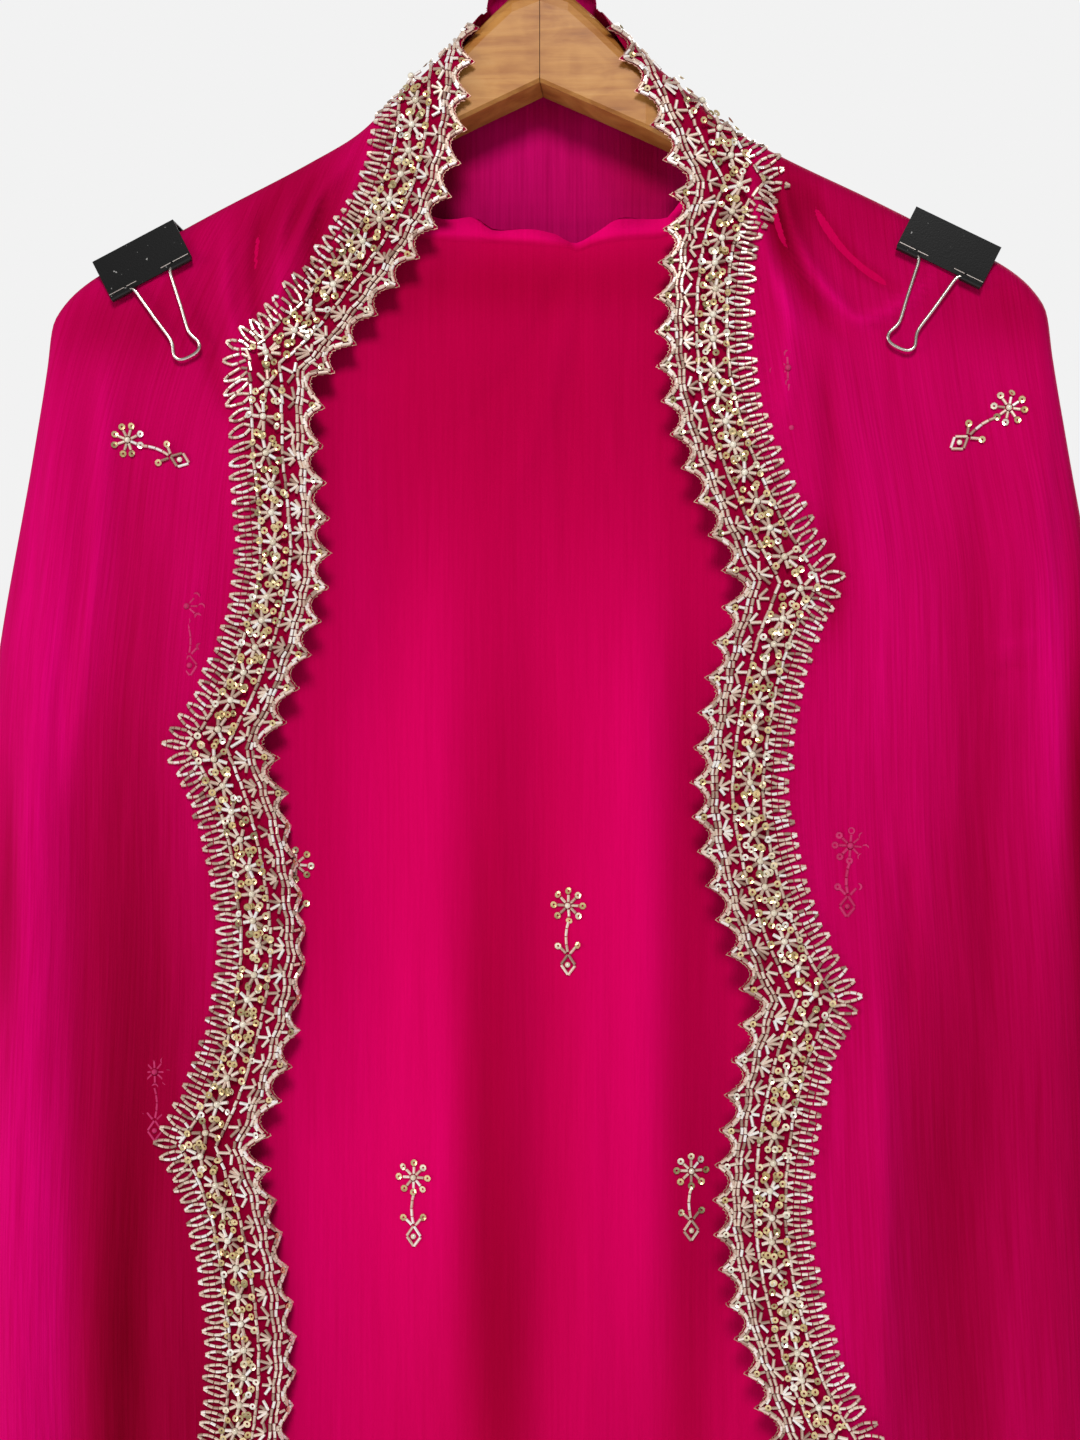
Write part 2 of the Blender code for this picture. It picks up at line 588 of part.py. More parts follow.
def build_clip(name, sign):
    frame = clip_frame(sign)
    front, back, flare, steel = CLIP_FRONT_Y, CLIP_BACK_Y, CLIP_SPINE_FLARE, CLIP_STEEL
    mesh = bmesh.new()
    channel = [(front, CLIP_LIP), (front - flare, CLIP_TOP - steel), (back + flare, CLIP_TOP - steel),
               (back, CLIP_LIP), (back + steel, CLIP_LIP), (back + flare + steel, CLIP_TOP),
               (front - flare - steel, CLIP_TOP), (front - steel, CLIP_LIP)]
    prism(mesh, channel, -CLIP_LENGTH / 2, CLIP_LENGTH / 2)
    body = add_object("clip_" + name + "_body", mesh, BLACK_PAINT, 0.4, 0.3)
    body.matrix_world = frame
    for face_y, outward in ((front, -1.0), (back, 1.0)):
        for end in (-1.0, 1.0):
            roll = bmesh.new()
            prism(roll, roll_section(face_y, outward),
                  *sorted((end * ROLL_CUTOUT_HALF, end * (CLIP_LENGTH / 2 - 0.0004))))
            tube = add_object(f"roll_{name}_{outward:+.0f}_{end:+.0f}", roll, BLACK_PAINT, 0.4)
            tube.matrix_world = frame
            tube.hide_render = True
            tube.display_type = "WIRE"
            join = body.modifiers.new("roll", "BOOLEAN")
            join.operation = "UNION"
            join.object = tube
    for place, face_y, outward in (("front", front, -1.0), ("back", back, 1.0)):
        half = [(w, -m) for w, m in HANDLE]
        line = half + [(-w, m) for w, m in half[::-1]]
        handle = add_wire(f"clip_{name}_handle_{place}", [(w, 0.0, m) for w, m in line],
                          HANDLE_WIRE, CHROME, 0.2)
        handle.matrix_world = frame @ Matrix.Translation((0.0, face_y + outward * ROLL_OUTER, CLIP_LIP))


def main():
    for piece in list(bpy.data.objects):
        bpy.data.objects.remove(piece)
    build_front("left", LEFT)
    build_front("right", RIGHT)
    build_back()
    build_return("left", LEFT)
    build_return("right", RIGHT)
    build_panel()
    build_arm("left", -1.0)
    build_arm("right", 1.0)
    build_hook()
    build_clip("left", -1.0)
    build_clip("right", 1.0)


main()
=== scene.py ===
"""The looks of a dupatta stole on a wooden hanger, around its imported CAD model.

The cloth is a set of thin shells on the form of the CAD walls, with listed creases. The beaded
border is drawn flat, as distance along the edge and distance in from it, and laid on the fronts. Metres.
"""

import math

import bpy
import numpy as np
from mathutils import Matrix, Vector


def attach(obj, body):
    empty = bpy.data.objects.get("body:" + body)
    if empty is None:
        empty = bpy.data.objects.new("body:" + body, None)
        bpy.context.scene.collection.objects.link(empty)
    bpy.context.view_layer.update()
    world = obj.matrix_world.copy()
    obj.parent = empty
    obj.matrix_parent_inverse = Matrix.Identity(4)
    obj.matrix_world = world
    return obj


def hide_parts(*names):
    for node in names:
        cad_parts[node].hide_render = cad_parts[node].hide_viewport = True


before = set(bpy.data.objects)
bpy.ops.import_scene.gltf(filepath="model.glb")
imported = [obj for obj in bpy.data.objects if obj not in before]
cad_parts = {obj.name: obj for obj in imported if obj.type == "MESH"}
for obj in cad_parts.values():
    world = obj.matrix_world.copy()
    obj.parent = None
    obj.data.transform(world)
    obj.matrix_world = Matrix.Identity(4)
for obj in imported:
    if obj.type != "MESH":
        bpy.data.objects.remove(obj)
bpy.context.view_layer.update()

BODY = "stole_on_hanger"

# ---------------------------------------------------------------------------------------------------------
# The form of the cloth, as in the CAD model: distance from the middle (w), height (z), depth (y)

GAP = 0.0003
HEM_Z = -1.25
FOLD_Z = -0.72
FOLD_RADIUS = 0.01
NECK_HALF_WIDTH = 0.0235
NECK_Z = -0.0736
COLLAR_TOP_Z = -0.052

OUTLINE = np.array([
    (0.0235, -0.0736), (0.045, -0.0965), (0.0634, -0.1125), (0.079, -0.1265), (0.1, -0.1385),
    (0.143, -0.16), (0.17, -0.1742), (0.1985, -0.1895), (0.208, -0.198), (0.2139, -0.2077),
    (0.2164, -0.226), (0.2225, -0.263), (0.236, -0.342), (0.246, -0.42), (0.255, -0.52), (0.262, -0.69),
    (0.268, -0.9), (0.272, -1.25),
])
# For each front: sign of x; the line of its free edge; its cusps along that; where on the outline rows end;
# its largest folds (distance from the middle and height at each end, half width, height to the front). Its
# creases, its patches of painted light and shade and its seed are added below.
LEFT = {
    "sign": -1.0,
    "edge": np.array([
        (0.0153, -0.0736), (0.026, -0.1247), (0.0409, -0.1681), (0.0668, -0.2234), (0.0838, -0.2715),
        (0.0889, -0.3247), (0.0949, -0.397), (0.0962, -0.4779), (0.0996, -0.563), (0.1013, -0.6353),
        (0.1004, -0.7119), (0.102, -0.9), (0.105, -1.25),
    ]),
    "cusps": (0.0, 0.18, 0.332, 0.503, 0.677, 0.852, 1.027, 1.202),
    "fan": np.array([
        (0.0, 0.004), (0.04, 0.062), (0.084, 0.1), (0.126, 0.122), (0.153, 0.145), (0.168, 0.185),
        (0.182, 0.235), (0.205, 0.283), (0.3, 0.38), (0.7, 0.786), (1.189, 1.281),
    ]),
    "folds": (
        (0.214, -0.3, 0.23, -0.95, 0.012, 0.005), (0.165, -0.42, 0.172, -1.25, 0.026, -0.006),
        (0.135, -0.8, 0.14, -1.25, 0.014, 0.005), (0.245, -0.6, 0.25, -1.25, 0.012, -0.004),
    ),
}
RIGHT = {
    "sign": 1.0,
    "edge": np.array([
        (0.0238, -0.0736), (0.037, -0.1289), (0.0421, -0.1843), (0.0515, -0.2481), (0.0626, -0.3289),
        (0.0638, -0.414), (0.0694, -0.4991), (0.0728, -0.5843), (0.0783, -0.6821), (0.083, -0.8),
        (0.088, -1.0), (0.09, -1.25),
    ]),
    "cusps": (-0.092, 0.084, 0.254, 0.429, 0.612, 0.788, 0.964, 1.14, 1.316),
    "fan": np.array([
        (0.0, 0.004), (0.057, 0.066), (0.087, 0.122), (0.133, 0.222), (0.165, 0.262), (0.3, 0.397),
        (0.7, 0.797), (1.18, 1.281),
    ]),
    "folds": (
        (0.14, -0.45, 0.142, -0.78, 0.01, 0.0045), (0.17, -0.52, 0.172, -1.25, 0.02, -0.006),
        (0.208, -0.3, 0.22, -1.25, 0.016, 0.0045), (0.13, -0.8, 0.135, -1.25, 0.018, -0.004),
    ),
}
CUSP_RETREAT = 0.0166
BORDER_WIDTH = 0.0417
BORDER_CUSP_WIDTH = 0.011
BAR_THICK = 0.024
ARM_THICK = 0.012
TAPER_FROM = 0.045
TAPER_TO = 0.085
CLOTH_FRONT_OFF_ARM = 0.0028
CLOTH_BACK_OFF_ARM = 0.0019
FRONT_HANG_DEPTH = 0.0185
BACK_HANG_DEPTH = 0.016
PANEL_DEPTH = 0.004
PANEL_HALF_WIDTH = 0.19
PANEL_OFF_ARM = 0.0011
CUT_WIDTH = 1.26
CLIP_CENTRE = 0.1745
CLIP_HANDLE_W = 0.163

# Cloth of the visual model
THREAD = 0.0004
HEM_THICK = 0.0013
HEM_REACH = 0.0022
VALLEY = 0.0074

# Creases: start (w, z), end (w, z), bow to one side, half width, height to the front.
LEFT_CREASES = (
    (0.079, -0.134, 0.112, -0.205, 0.006, 0.0031, 0.0027),
    (0.088, -0.139, 0.098, -0.222, 0.005, 0.0025, -0.0022),
    (0.07, -0.13, 0.09, -0.19, 0.003, 0.0023, 0.002), (0.105, -0.146, 0.106, -0.232, 0.007, 0.0031, 0.0026),
    (0.118, -0.153, 0.112, -0.238, 0.008, 0.0028, -0.002),
    (0.134, -0.16, 0.118, -0.246, 0.008, 0.0035, 0.002),
    (0.148, -0.2, 0.124, -0.262, 0.004, 0.0039, -0.0017),
    (0.19, -0.215, 0.204, -0.42, -0.006, 0.0047, 0.002),
    (0.178, -0.235, 0.186, -0.47, -0.004, 0.007, -0.0011),
    (0.143, -0.255, 0.152, -0.52, 0.003, 0.0065, 0.001), (0.13, -0.3, 0.136, -0.64, 0.002, 0.0055, -0.001),
    (0.16, -0.33, 0.158, -0.72, -0.002, 0.0045, 0.0009),
    (0.196, -0.36, 0.206, -0.82, -0.003, 0.0055, -0.0012),
    (0.225, -0.42, 0.236, -1.05, 0.002, 0.006, 0.0011), (0.182, -0.56, 0.188, -1.24, 0.003, 0.005, 0.0014),
    (0.147, -0.6, 0.15, -1.24, -0.003, 0.006, -0.0013), (0.12, -0.9, 0.122, -1.24, 0.002, 0.005, 0.0012),
    (0.214, -0.7, 0.22, -1.24, -0.003, 0.0065, -0.0014),
)
RIGHT_CREASES = (
    (0.09, -0.136, 0.112, -0.222, -0.006, 0.0033, 0.0037),
    (0.097, -0.14, 0.13, -0.222, -0.008, 0.0031, -0.0031),
    (0.101, -0.142, 0.141, -0.218, -0.01, 0.0028, 0.0034),
    (0.112, -0.148, 0.158, -0.202, -0.009, 0.0031, -0.0024),
    (0.104, -0.18, 0.102, -0.262, 0.002, 0.0031, 0.002),
    (0.128, -0.212, 0.166, -0.19, -0.006, 0.0028, 0.0022),
    (0.119, -0.225, 0.121, -0.33, 0.003, 0.0043, -0.002), (0.136, -0.24, 0.142, -0.4, 0.003, 0.006, 0.0009),
    (0.19, -0.352, 0.212, -0.345, 0.002, 0.0026, 0.0008),
    (0.188, -0.364, 0.207, -0.356, 0.002, 0.0022, -0.0008),
    (0.153, -0.43, 0.1535, -0.512, 0.001, 0.0028, -0.0016),
    (0.16, -0.3, 0.164, -0.56, -0.003, 0.006, 0.0009), (0.183, -0.26, 0.19, -0.52, -0.004, 0.0065, -0.0011),
    (0.142, -0.49, 0.144, -0.64, 0.001, 0.003, 0.0016), (0.22, -0.36, 0.242, -0.9, 0.003, 0.0045, -0.0014),
    (0.2, -0.5, 0.203, -1.1, -0.003, 0.006, 0.0012), (0.123, -0.56, 0.124, -0.9, 0.002, 0.0055, 0.0012),
    (0.152, -0.7, 0.156, -1.24, 0.003, 0.006, 0.0013), (0.184, -0.62, 0.189, -1.24, -0.003, 0.005, -0.0013),
    (0.236, -0.7, 0.244, -1.24, 0.002, 0.006, 0.0012),
)
# Folds of the turned-up panel and of the back, by signed distance from the middle.
PANEL_CREASES = (
    (0.0165, -0.179, -0.022, -0.3, 0.006, 0.005, 0.001),
    (0.015, -0.179, -0.04, -0.262, 0.005, 0.004, -0.0009),
    (0.018, -0.179, 0.012, -0.34, -0.003, 0.005, -0.0009),
    (0.02, -0.178, 0.038, -0.29, -0.004, 0.0055, 0.0008),
    (0.044, -0.3, 0.05, -0.705, -0.003, 0.017, 0.0062), (-0.006, -0.32, 0.0, -0.705, 0.004, 0.015, -0.004),
    (-0.046, -0.28, -0.04, -0.705, -0.003, 0.0165, 0.0052),
    (-0.088, -0.3, -0.084, -0.705, 0.003, 0.015, -0.0034),
    (0.018, -0.43, 0.022, -0.7, 0.002, 0.0055, 0.0015), (0.082, -0.33, 0.08, -0.705, 0.002, 0.013, -0.003),
    (-0.064, -0.42, -0.06, -0.7, 0.002, 0.005, 0.0012),
    (-0.026, -0.4, -0.022, -0.69, 0.002, 0.0045, -0.001),
)
BACK_CREASES = (
    (0.011, -0.1, 0.0115, -0.24, 0.0, 0.0022, 0.001), (-0.12, -0.165, -0.15, -0.42, -0.01, 0.012, 0.0022),
    (-0.07, -0.16, -0.084, -0.56, -0.008, 0.014, -0.0024),
    (-0.02, -0.18, -0.03, -0.66, 0.006, 0.013, 0.0022), (0.036, -0.15, 0.026, -0.64, 0.006, 0.015, -0.0022),
    (0.085, -0.17, 0.096, -0.6, -0.007, 0.013, 0.0026), (0.14, -0.18, 0.152, -0.48, 0.008, 0.012, -0.002),
    (0.196, -0.24, 0.215, -0.64, 0.006, 0.011, 0.002),
    (-0.198, -0.25, -0.214, -0.66, -0.006, 0.012, -0.0018),
    (-0.165, -0.3, -0.176, -0.66, 0.004, 0.01, 0.0018),
)


# Soft patches of painted light and shade: distance from the middle (signed on the panel and the back),
# height, reach across and down, and how much lighter or darker the cloth is painted there.
LEFT_PAINTED_SHADING = (
    (0.172, -0.62, 0.026, 0.19, 0.52), (0.15, -1.0, 0.03, 0.3, 0.62), (0.12, -0.18, 0.05, 0.05, 0.84),
    (0.232, -0.46, 0.016, 0.2, 1.15), (0.185, -0.44, 0.014, 0.11, 0.82), (0.215, -0.9, 0.02, 0.3, 1.1),
    (0.184, -0.68, 0.01, 0.11, 0.64), (0.16, -0.49, 0.018, 0.15, 0.84), (0.1, -0.16, 0.026, 0.03, 0.7),
    (0.228, -0.46, 0.007, 0.06, 0.62), (0.206, -0.355, 0.008, 0.07, 1.2), (0.206, -0.62, 0.009, 0.09, 1.2),
    (0.185, -0.35, 0.008, 0.06, 1.16), (0.18, -0.208, 0.04, 0.018, 0.78), (0.165, -0.62, 0.006, 0.06, 1.24),
    (0.218, -0.45, 0.01, 0.45, 1.14), (0.14, -0.67, 0.012, 0.06, 0.76),
)
RIGHT_PAINTED_SHADING = (
    (0.205, -0.56, 0.046, 0.15, 0.78), (0.238, -0.42, 0.014, 0.17, 0.5), (0.17, -0.58, 0.018, 0.12, 0.76),
    (0.155, -0.15, 0.06, 0.03, 0.84), (0.14, -0.33, 0.026, 0.08, 1.08), (0.19, -1.0, 0.04, 0.25, 0.7),
    (0.104, -0.165, 0.011, 0.028, 0.56), (0.14, -0.172, 0.04, 0.034, 0.86),
    (0.2, -0.206, 0.034, 0.018, 0.78), (0.124, -0.325, 0.007, 0.022, 0.68),
    (0.214, -0.375, 0.008, 0.07, 1.38), (0.226, -0.4, 0.007, 0.05, 0.62), (0.183, -0.42, 0.01, 0.11, 0.88),
    (0.178, -0.68, 0.012, 0.05, 0.84), (0.16, -0.52, 0.006, 0.08, 0.9),
)
PANEL_PAINTED_SHADING = (
    (0.0, -0.235, 0.15, 0.085, 0.78), (-0.068, -0.56, 0.016, 0.14, 1.14),
    (-0.022, -0.54, 0.015, 0.18, 0.74), (0.026, -0.48, 0.02, 0.19, 1.04), (0.06, -0.5, 0.014, 0.2, 0.78),
    (0.0, -0.192, 0.09, 0.014, 0.82), (-0.08, -0.42, 0.012, 0.24, 1.14), (-0.096, -0.6, 0.016, 0.11, 1.22),
    (-0.016, -0.67, 0.014, 0.09, 0.72), (0.05, -0.47, 0.009, 0.15, 1.16),
    (-0.041, -0.56, 0.007, 0.06, 1.12), (0.064, -0.67, 0.01, 0.08, 0.86),
)
BACK_PAINTED_SHADING = (
    (0.046, -0.125, 0.018, 0.04, 0.62), (-0.046, -0.135, 0.012, 0.022, 0.6),
    (0.0, -0.112, 0.05, 0.008, 0.8), (-0.012, -0.13, 0.022, 0.02, 1.1),
)
# Painted light on the ridges of the creases and painted shade in their troughs: change of shading per metre
# of crease height.
CREASE_PAINTED_SHADING = 80
LEFT.update(creases=LEFT_CREASES, tones=LEFT_PAINTED_SHADING, seed=3)
RIGHT.update(creases=RIGHT_CREASES, tones=RIGHT_PAINTED_SHADING, seed=8)
SIDES = (("left", LEFT), ("right", RIGHT))


def painted_shading_of(patches, w, z):
    """Painted light and shade of the cloth at each point: the product of its patches."""
    tone = np.ones(np.shape(w))
    for w0, z0, reach_w, reach_z, factor in patches:
        tone = tone * (1 + (factor - 1) * np.exp(-((w - w0) / reach_w) ** 2 - ((z - z0) / reach_z) ** 2))
    return tone


def smooth(start, end, value):
    """0 before start, 1 after end, with a smooth climb between them."""
    t = np.clip((np.asarray(value, float) - start) / (end - start), 0.0, 1.0)
    return t * t * (3.0 - 2.0 * t)


def through(at, heights, value):
    """A smooth curve through the given heights that adds no humps of its own between them."""
    at, heights = np.asarray(at, float), np.asarray(heights, float)
    step = np.diff(at)
    slope = np.diff(heights) / step
    tangent = np.zeros(len(at))
    same_way = slope[:-1] * slope[1:] > 0
    weight_a, weight_b = 2 * step[1:] + step[:-1], step[1:] + 2 * step[:-1]
    with np.errstate(divide="ignore", invalid="ignore"):
        mean = (weight_a + weight_b) / (weight_a / slope[:-1] + weight_b / slope[1:])
    tangent[1:-1] = np.where(same_way, mean, 0.0)
    tangent[0], tangent[-1] = slope[0], slope[-1]
    value = np.clip(value, at[0], at[-1])
    i = np.clip(np.searchsorted(at, value) - 1, 0, len(step) - 1)
    t = (value - at[i]) / step[i]
    return ((1 + 2 * t) * (1 - t) ** 2 * heights[i] + t * (1 - t) ** 2 * step[i] * tangent[i]
            + t * t * (3 - 2 * t) * heights[i + 1] + t * t * (t - 1) * step[i] * tangent[i + 1])


def points_of(*parts):
    """Arrays of the same shape, put together as the last axis of one array."""
    return np.stack(parts, axis=-1)


def lengths(points):
    return np.concatenate([[0.0], np.cumsum(np.linalg.norm(np.diff(points, axis=0), axis=1))])


def along(points, distance):
    """The point or points at that distance along a smooth line."""
    at = lengths(points)
    return points_of(through(at, points[:, 0], distance), through(at, points[:, 1], distance))


def cap(share):
    """Depth of a rounded edge, as a share of its full depth, by the share of its radius from the outline."""
    return np.sqrt(1.0 - (1.0 - np.clip(share, 0.0, 1.0)) ** 2)


OUTLINE_LENGTH = lengths(OUTLINE)[-1]
OUTLINE_LINE = along(OUTLINE, np.linspace(0.0, OUTLINE_LENGTH, 400))
OUTLINE_LINE = np.concatenate([[(NECK_HALF_WIDTH, COLLAR_TOP_Z + 0.01)], OUTLINE_LINE])


def nearest_outline(w, z):
    """Distance from the cloth's outline and the nearest point on it."""
    points = np.stack([np.asarray(w, float).ravel(), np.asarray(z, float).ravel()], axis=1)
    best = np.full(len(points), 1e9)
    foot = np.zeros_like(points)
    for a, b in zip(OUTLINE_LINE[:-1], OUTLINE_LINE[1:]):
        d = b - a
        t = np.clip(((points - a) @ d) / (d @ d), 0.0, 1.0)
        at = a + t[:, None] * d
        far = np.einsum("ij,ij->i", points - at, points - at)
        nearer = far < best
        best = np.where(nearer, far, best)
        foot[nearer] = at[nearer]
    return np.sqrt(best).reshape(np.shape(w)), foot.reshape(*np.shape(w), 2)


def ridge_z(w):
    return through(OUTLINE[:11, 0], OUTLINE[:11, 1], np.clip(w, NECK_HALF_WIDTH, OUTLINE[10, 0]))


def half_arm(w):
    taper = np.clip((np.asarray(w, float) - TAPER_FROM) / (TAPER_TO - TAPER_FROM), 0.0, 1.0)
    return (BAR_THICK + (ARM_THICK - BAR_THICK) * taper) / 2


def cap_radius(w, z):
    return 0.012 - 0.0045 * smooth(0.03, 0.07, w) + 0.006 * smooth(-0.21, -0.34, z)


def hang_depth(w, z):
    by_clip = np.exp(-(((np.asarray(w, float) - CLIP_HANDLE_W) / 0.034) ** 4))
    return ridge_z(w) - z - 0.042 * by_clip


def crease_lift(creases, w, z):
    """Height of creases: each is a soft ridge or trough along a bowed line, fading at its ends."""
    lift = np.zeros(np.shape(w))
    for w0, z0, w1, z1, bow, half_width, height in creases:
        run = np.array([w1 - w0, z1 - z0])
        length = np.linalg.norm(run)
        run = run / length
        u = ((w - w0) * run[0] + (z - z0) * run[1]) / length
        side = -(w - w0) * run[1] + (z - z0) * run[0] - bow * 4 * u * (1 - u)
        fade = smooth(-0.04, 0.22, u) * smooth(1.06, 0.7, u)
        lift = lift + height * fade * np.exp(-((side / half_width) ** 2))
    return lift


def crinkle(c, l, seed, strength=1.0):
    """Wandering ridges along the length of the cloth, by distance across it and along it."""
    chance = np.random.default_rng(seed)
    height = np.zeros(np.shape(c))
    for wave, size in ((0.0079, 0.1), (0.0113, 0.16), (0.0162, 0.24), (0.027, 0.34), (0.044, 0.4)):
        for _ in range(2):
            phase, drift, pace, slow = chance.uniform(0, 6.28, 4)
            path = c / (wave * chance.uniform(0.85, 1.15)) * 6.283 + phase
            path = path + 1.5 * np.sin(l / chance.uniform(0.09, 0.2) + drift) + 0.7 * np.sin(l / 0.047 + pace)
            height = height + size * np.sin(path) * (0.62 + 0.38 * np.sin(l / 0.13 + slow + c * 21))
    return height * 0.00042 * strength


def front_y(side, w, z, off):
    """Depth of the front walls' middle surface, without creases."""
    below = hang_depth(w, z)
    on_arm = half_arm(w) + CLOTH_FRONT_OFF_ARM
    depth = on_arm + (FRONT_HANG_DEPTH - on_arm) * smooth(0.026, 0.14, below)
    lift = np.zeros(np.shape(w))
    for w_top, z_top, w_low, z_low, half_width, height in side["folds"]:
        share = np.clip((z - z_top) / (z_low - z_top), 0.0, 1.0)
        centre = w_top + (w_low - w_top) * share
        reach = smooth(z_top + 0.05, z_top - 0.12, z)
        lift = lift + height * reach * np.exp(-(((w - centre) / half_width) ** 2))
    lift = lift * smooth(0.004, 0.03, off)
    return -(depth * cap(off / cap_radius(w, z)) + lift)


def back_y(w, z, off):
    below = hang_depth(w, z)
    on_arm = half_arm(w) + CLOTH_BACK_OFF_ARM
    depth = on_arm + (BACK_HANG_DEPTH - on_arm) * smooth(0.026, 0.12, below)
    return depth * cap(off / cap_radius(w, z))


def scallop(side, s):
    cusps = np.array(side["cusps"])
    phase = np.interp(s, cusps, np.arange(len(cusps)))
    return np.abs(2.0 * (phase % 1.0) - 1.0)


def edge_outward(side, s):
    reach = 0.004
    s = np.clip(s, reach, lengths(side["edge"])[-1] - reach)
    run = along(side["edge"], s + reach) - along(side["edge"], s - reach)
    run = run / np.linalg.norm(run, axis=-1, keepdims=True)
    return points_of(-run[..., 1], run[..., 0])


def retreat_and_width(side, s):
    wave = scallop(side, s)
    near_neck = 0.5 + 0.5 * smooth(0.0, 0.06, s)
    return CUSP_RETREAT * near_neck * wave ** 1.6, BORDER_WIDTH + BORDER_CUSP_WIDTH * wave ** 5


def border_place(side, s, t):
    """A point of the border as (w, z): t runs from 0 at the tips of its teeth to 0.0417 at its loops."""
    retreat, width = retreat_and_width(side, s)
    share = np.asarray(t) / BORDER_WIDTH
    return along(side["edge"], s) + edge_outward(side, s) * (retreat + width * share)[..., None]


# Where each border's free edge curls back, by its sign of x: start and end along the edge, and how much.
CURLS = {-1.0: ((0.335, 0.47, 1.0), (0.5, 0.66, 0.85), (0.845, 0.98, 0.8), (1.06, 1.18, 0.7)),
         1.0: ((0.7, 0.82, 0.5), (1.0, 1.11, 0.6))}
CURL_REACH = 0.013
CURL_ANGLE = 1.05


def curl(side, s, t):
    """How far the free edge's curl moves a point: towards the border's inside, and towards the back."""
    amount = np.zeros(np.shape(s))
    for start, end, size in CURLS[side["sign"]]:
        amount = np.maximum(amount, size * smooth(start, start + 0.035, s) * smooth(end, end - 0.035, s))
    inside = np.maximum(CURL_REACH - t, 0.0)
    angle = CURL_ANGLE * amount * smooth(0.0, CURL_REACH, inside)
    return inside * (1 - np.cos(angle)), inside * np.sin(angle)


def front_surface(side, w, z, c, l):
    """Points of the front's middle surface in the scene; past the outline they turn over to the back."""
    off, foot = nearest_outline(w, z)
    outside = (z > ridge_z(w)) & (w > NECK_HALF_WIDTH - 0.004) & (w < 0.21)
    fine = crease_lift(side["creases"], w, z) + crinkle(c, l, side["seed"])
    fine = fine * smooth(0.001, 0.022, off)
    front = front_y(side, w, z, off) - fine
    w_back, z_back = 2 * foot[..., 0] - w, 2 * foot[..., 1] - z
    w_shown = np.where(outside, w_back, w)
    z_shown = np.where(outside, z_back, z)
    y = np.where(outside, back_y(w_back, z_back, off), front)
    return points_of(side["sign"] * w_shown, y, z_shown)


def on_border(side, s, t):
    """Points of the border on the front, by distance along its edge and in from the tips of its teeth."""
    inward, backward = curl(side, s, t)
    flat = border_place(side, s, t + inward)
    retreat, _ = retreat_and_width(side, s)
    points = front_surface(side, flat[..., 0], flat[..., 1], retreat + t, s)
    points[..., 1] = points[..., 1] + backward
    return points


def back_surface(x, z, c, l):
    w = np.abs(x)
    off, _ = nearest_outline(w, z)
    fine = crease_lift(BACK_CREASES, x, z) + crinkle(c, l, 21, 0.8)
    y = back_y(w, z, off) + fine * smooth(0.001, 0.03, off) * smooth(-0.085, -0.12, z)
    return points_of(x, y, z)


def panel_y(x, z):
    w = np.abs(x)
    below = ridge_z(w) - z
    on_arm = smooth(0.055, 0.083, w) * smooth(0.06, 0.034, below)
    drape = 0.0022 * np.sin(w * 62.0 + 0.8) * smooth(-0.24, -0.36, z)
    creases = crease_lift(PANEL_CREASES, x, z) * smooth(FOLD_Z, FOLD_Z + 0.03, z)
    return -(PANEL_DEPTH + (half_arm(w) + PANEL_OFF_ARM - PANEL_DEPTH) * on_arm + drape + creases)


# ---------------------------------------------------------------------------------------------------------
# Meshes

def mesh_object(name, points, faces, smooth_faces=True):
    """An object from an array of points and arrays of faces, one for each number of corners."""
    mesh = bpy.data.meshes.new(name)
    mesh.vertices.add(len(points))
    mesh.vertices.foreach_set("co", np.asarray(points, np.float32).ravel())
    corners = np.concatenate([f.ravel() for f in faces]).astype(np.int32)
    sizes = np.concatenate([np.full(len(f), f.shape[1]) for f in faces])
    starts = np.concatenate([[0], np.cumsum(sizes)[:-1]]).astype(np.int32)
    mesh.loops.add(len(corners))
    mesh.loops.foreach_set("vertex_index", corners)
    mesh.polygons.add(len(sizes))
    mesh.polygons.foreach_set("loop_start", starts)
    mesh.update(calc_edges=True)
    mesh.validate()
    mesh.polygons.foreach_set("use_smooth", np.full(len(sizes), smooth_faces))
    piece = bpy.data.objects.new(name, mesh)
    bpy.context.scene.collection.objects.link(piece)
    return piece


def normals_of(grid):
    down, across = np.gradient(grid, axis=0), np.gradient(grid, axis=1)
    normal = np.cross(across, down)
    size = np.linalg.norm(normal, axis=-1, keepdims=True)
    return normal / np.maximum(size, 1e-12)


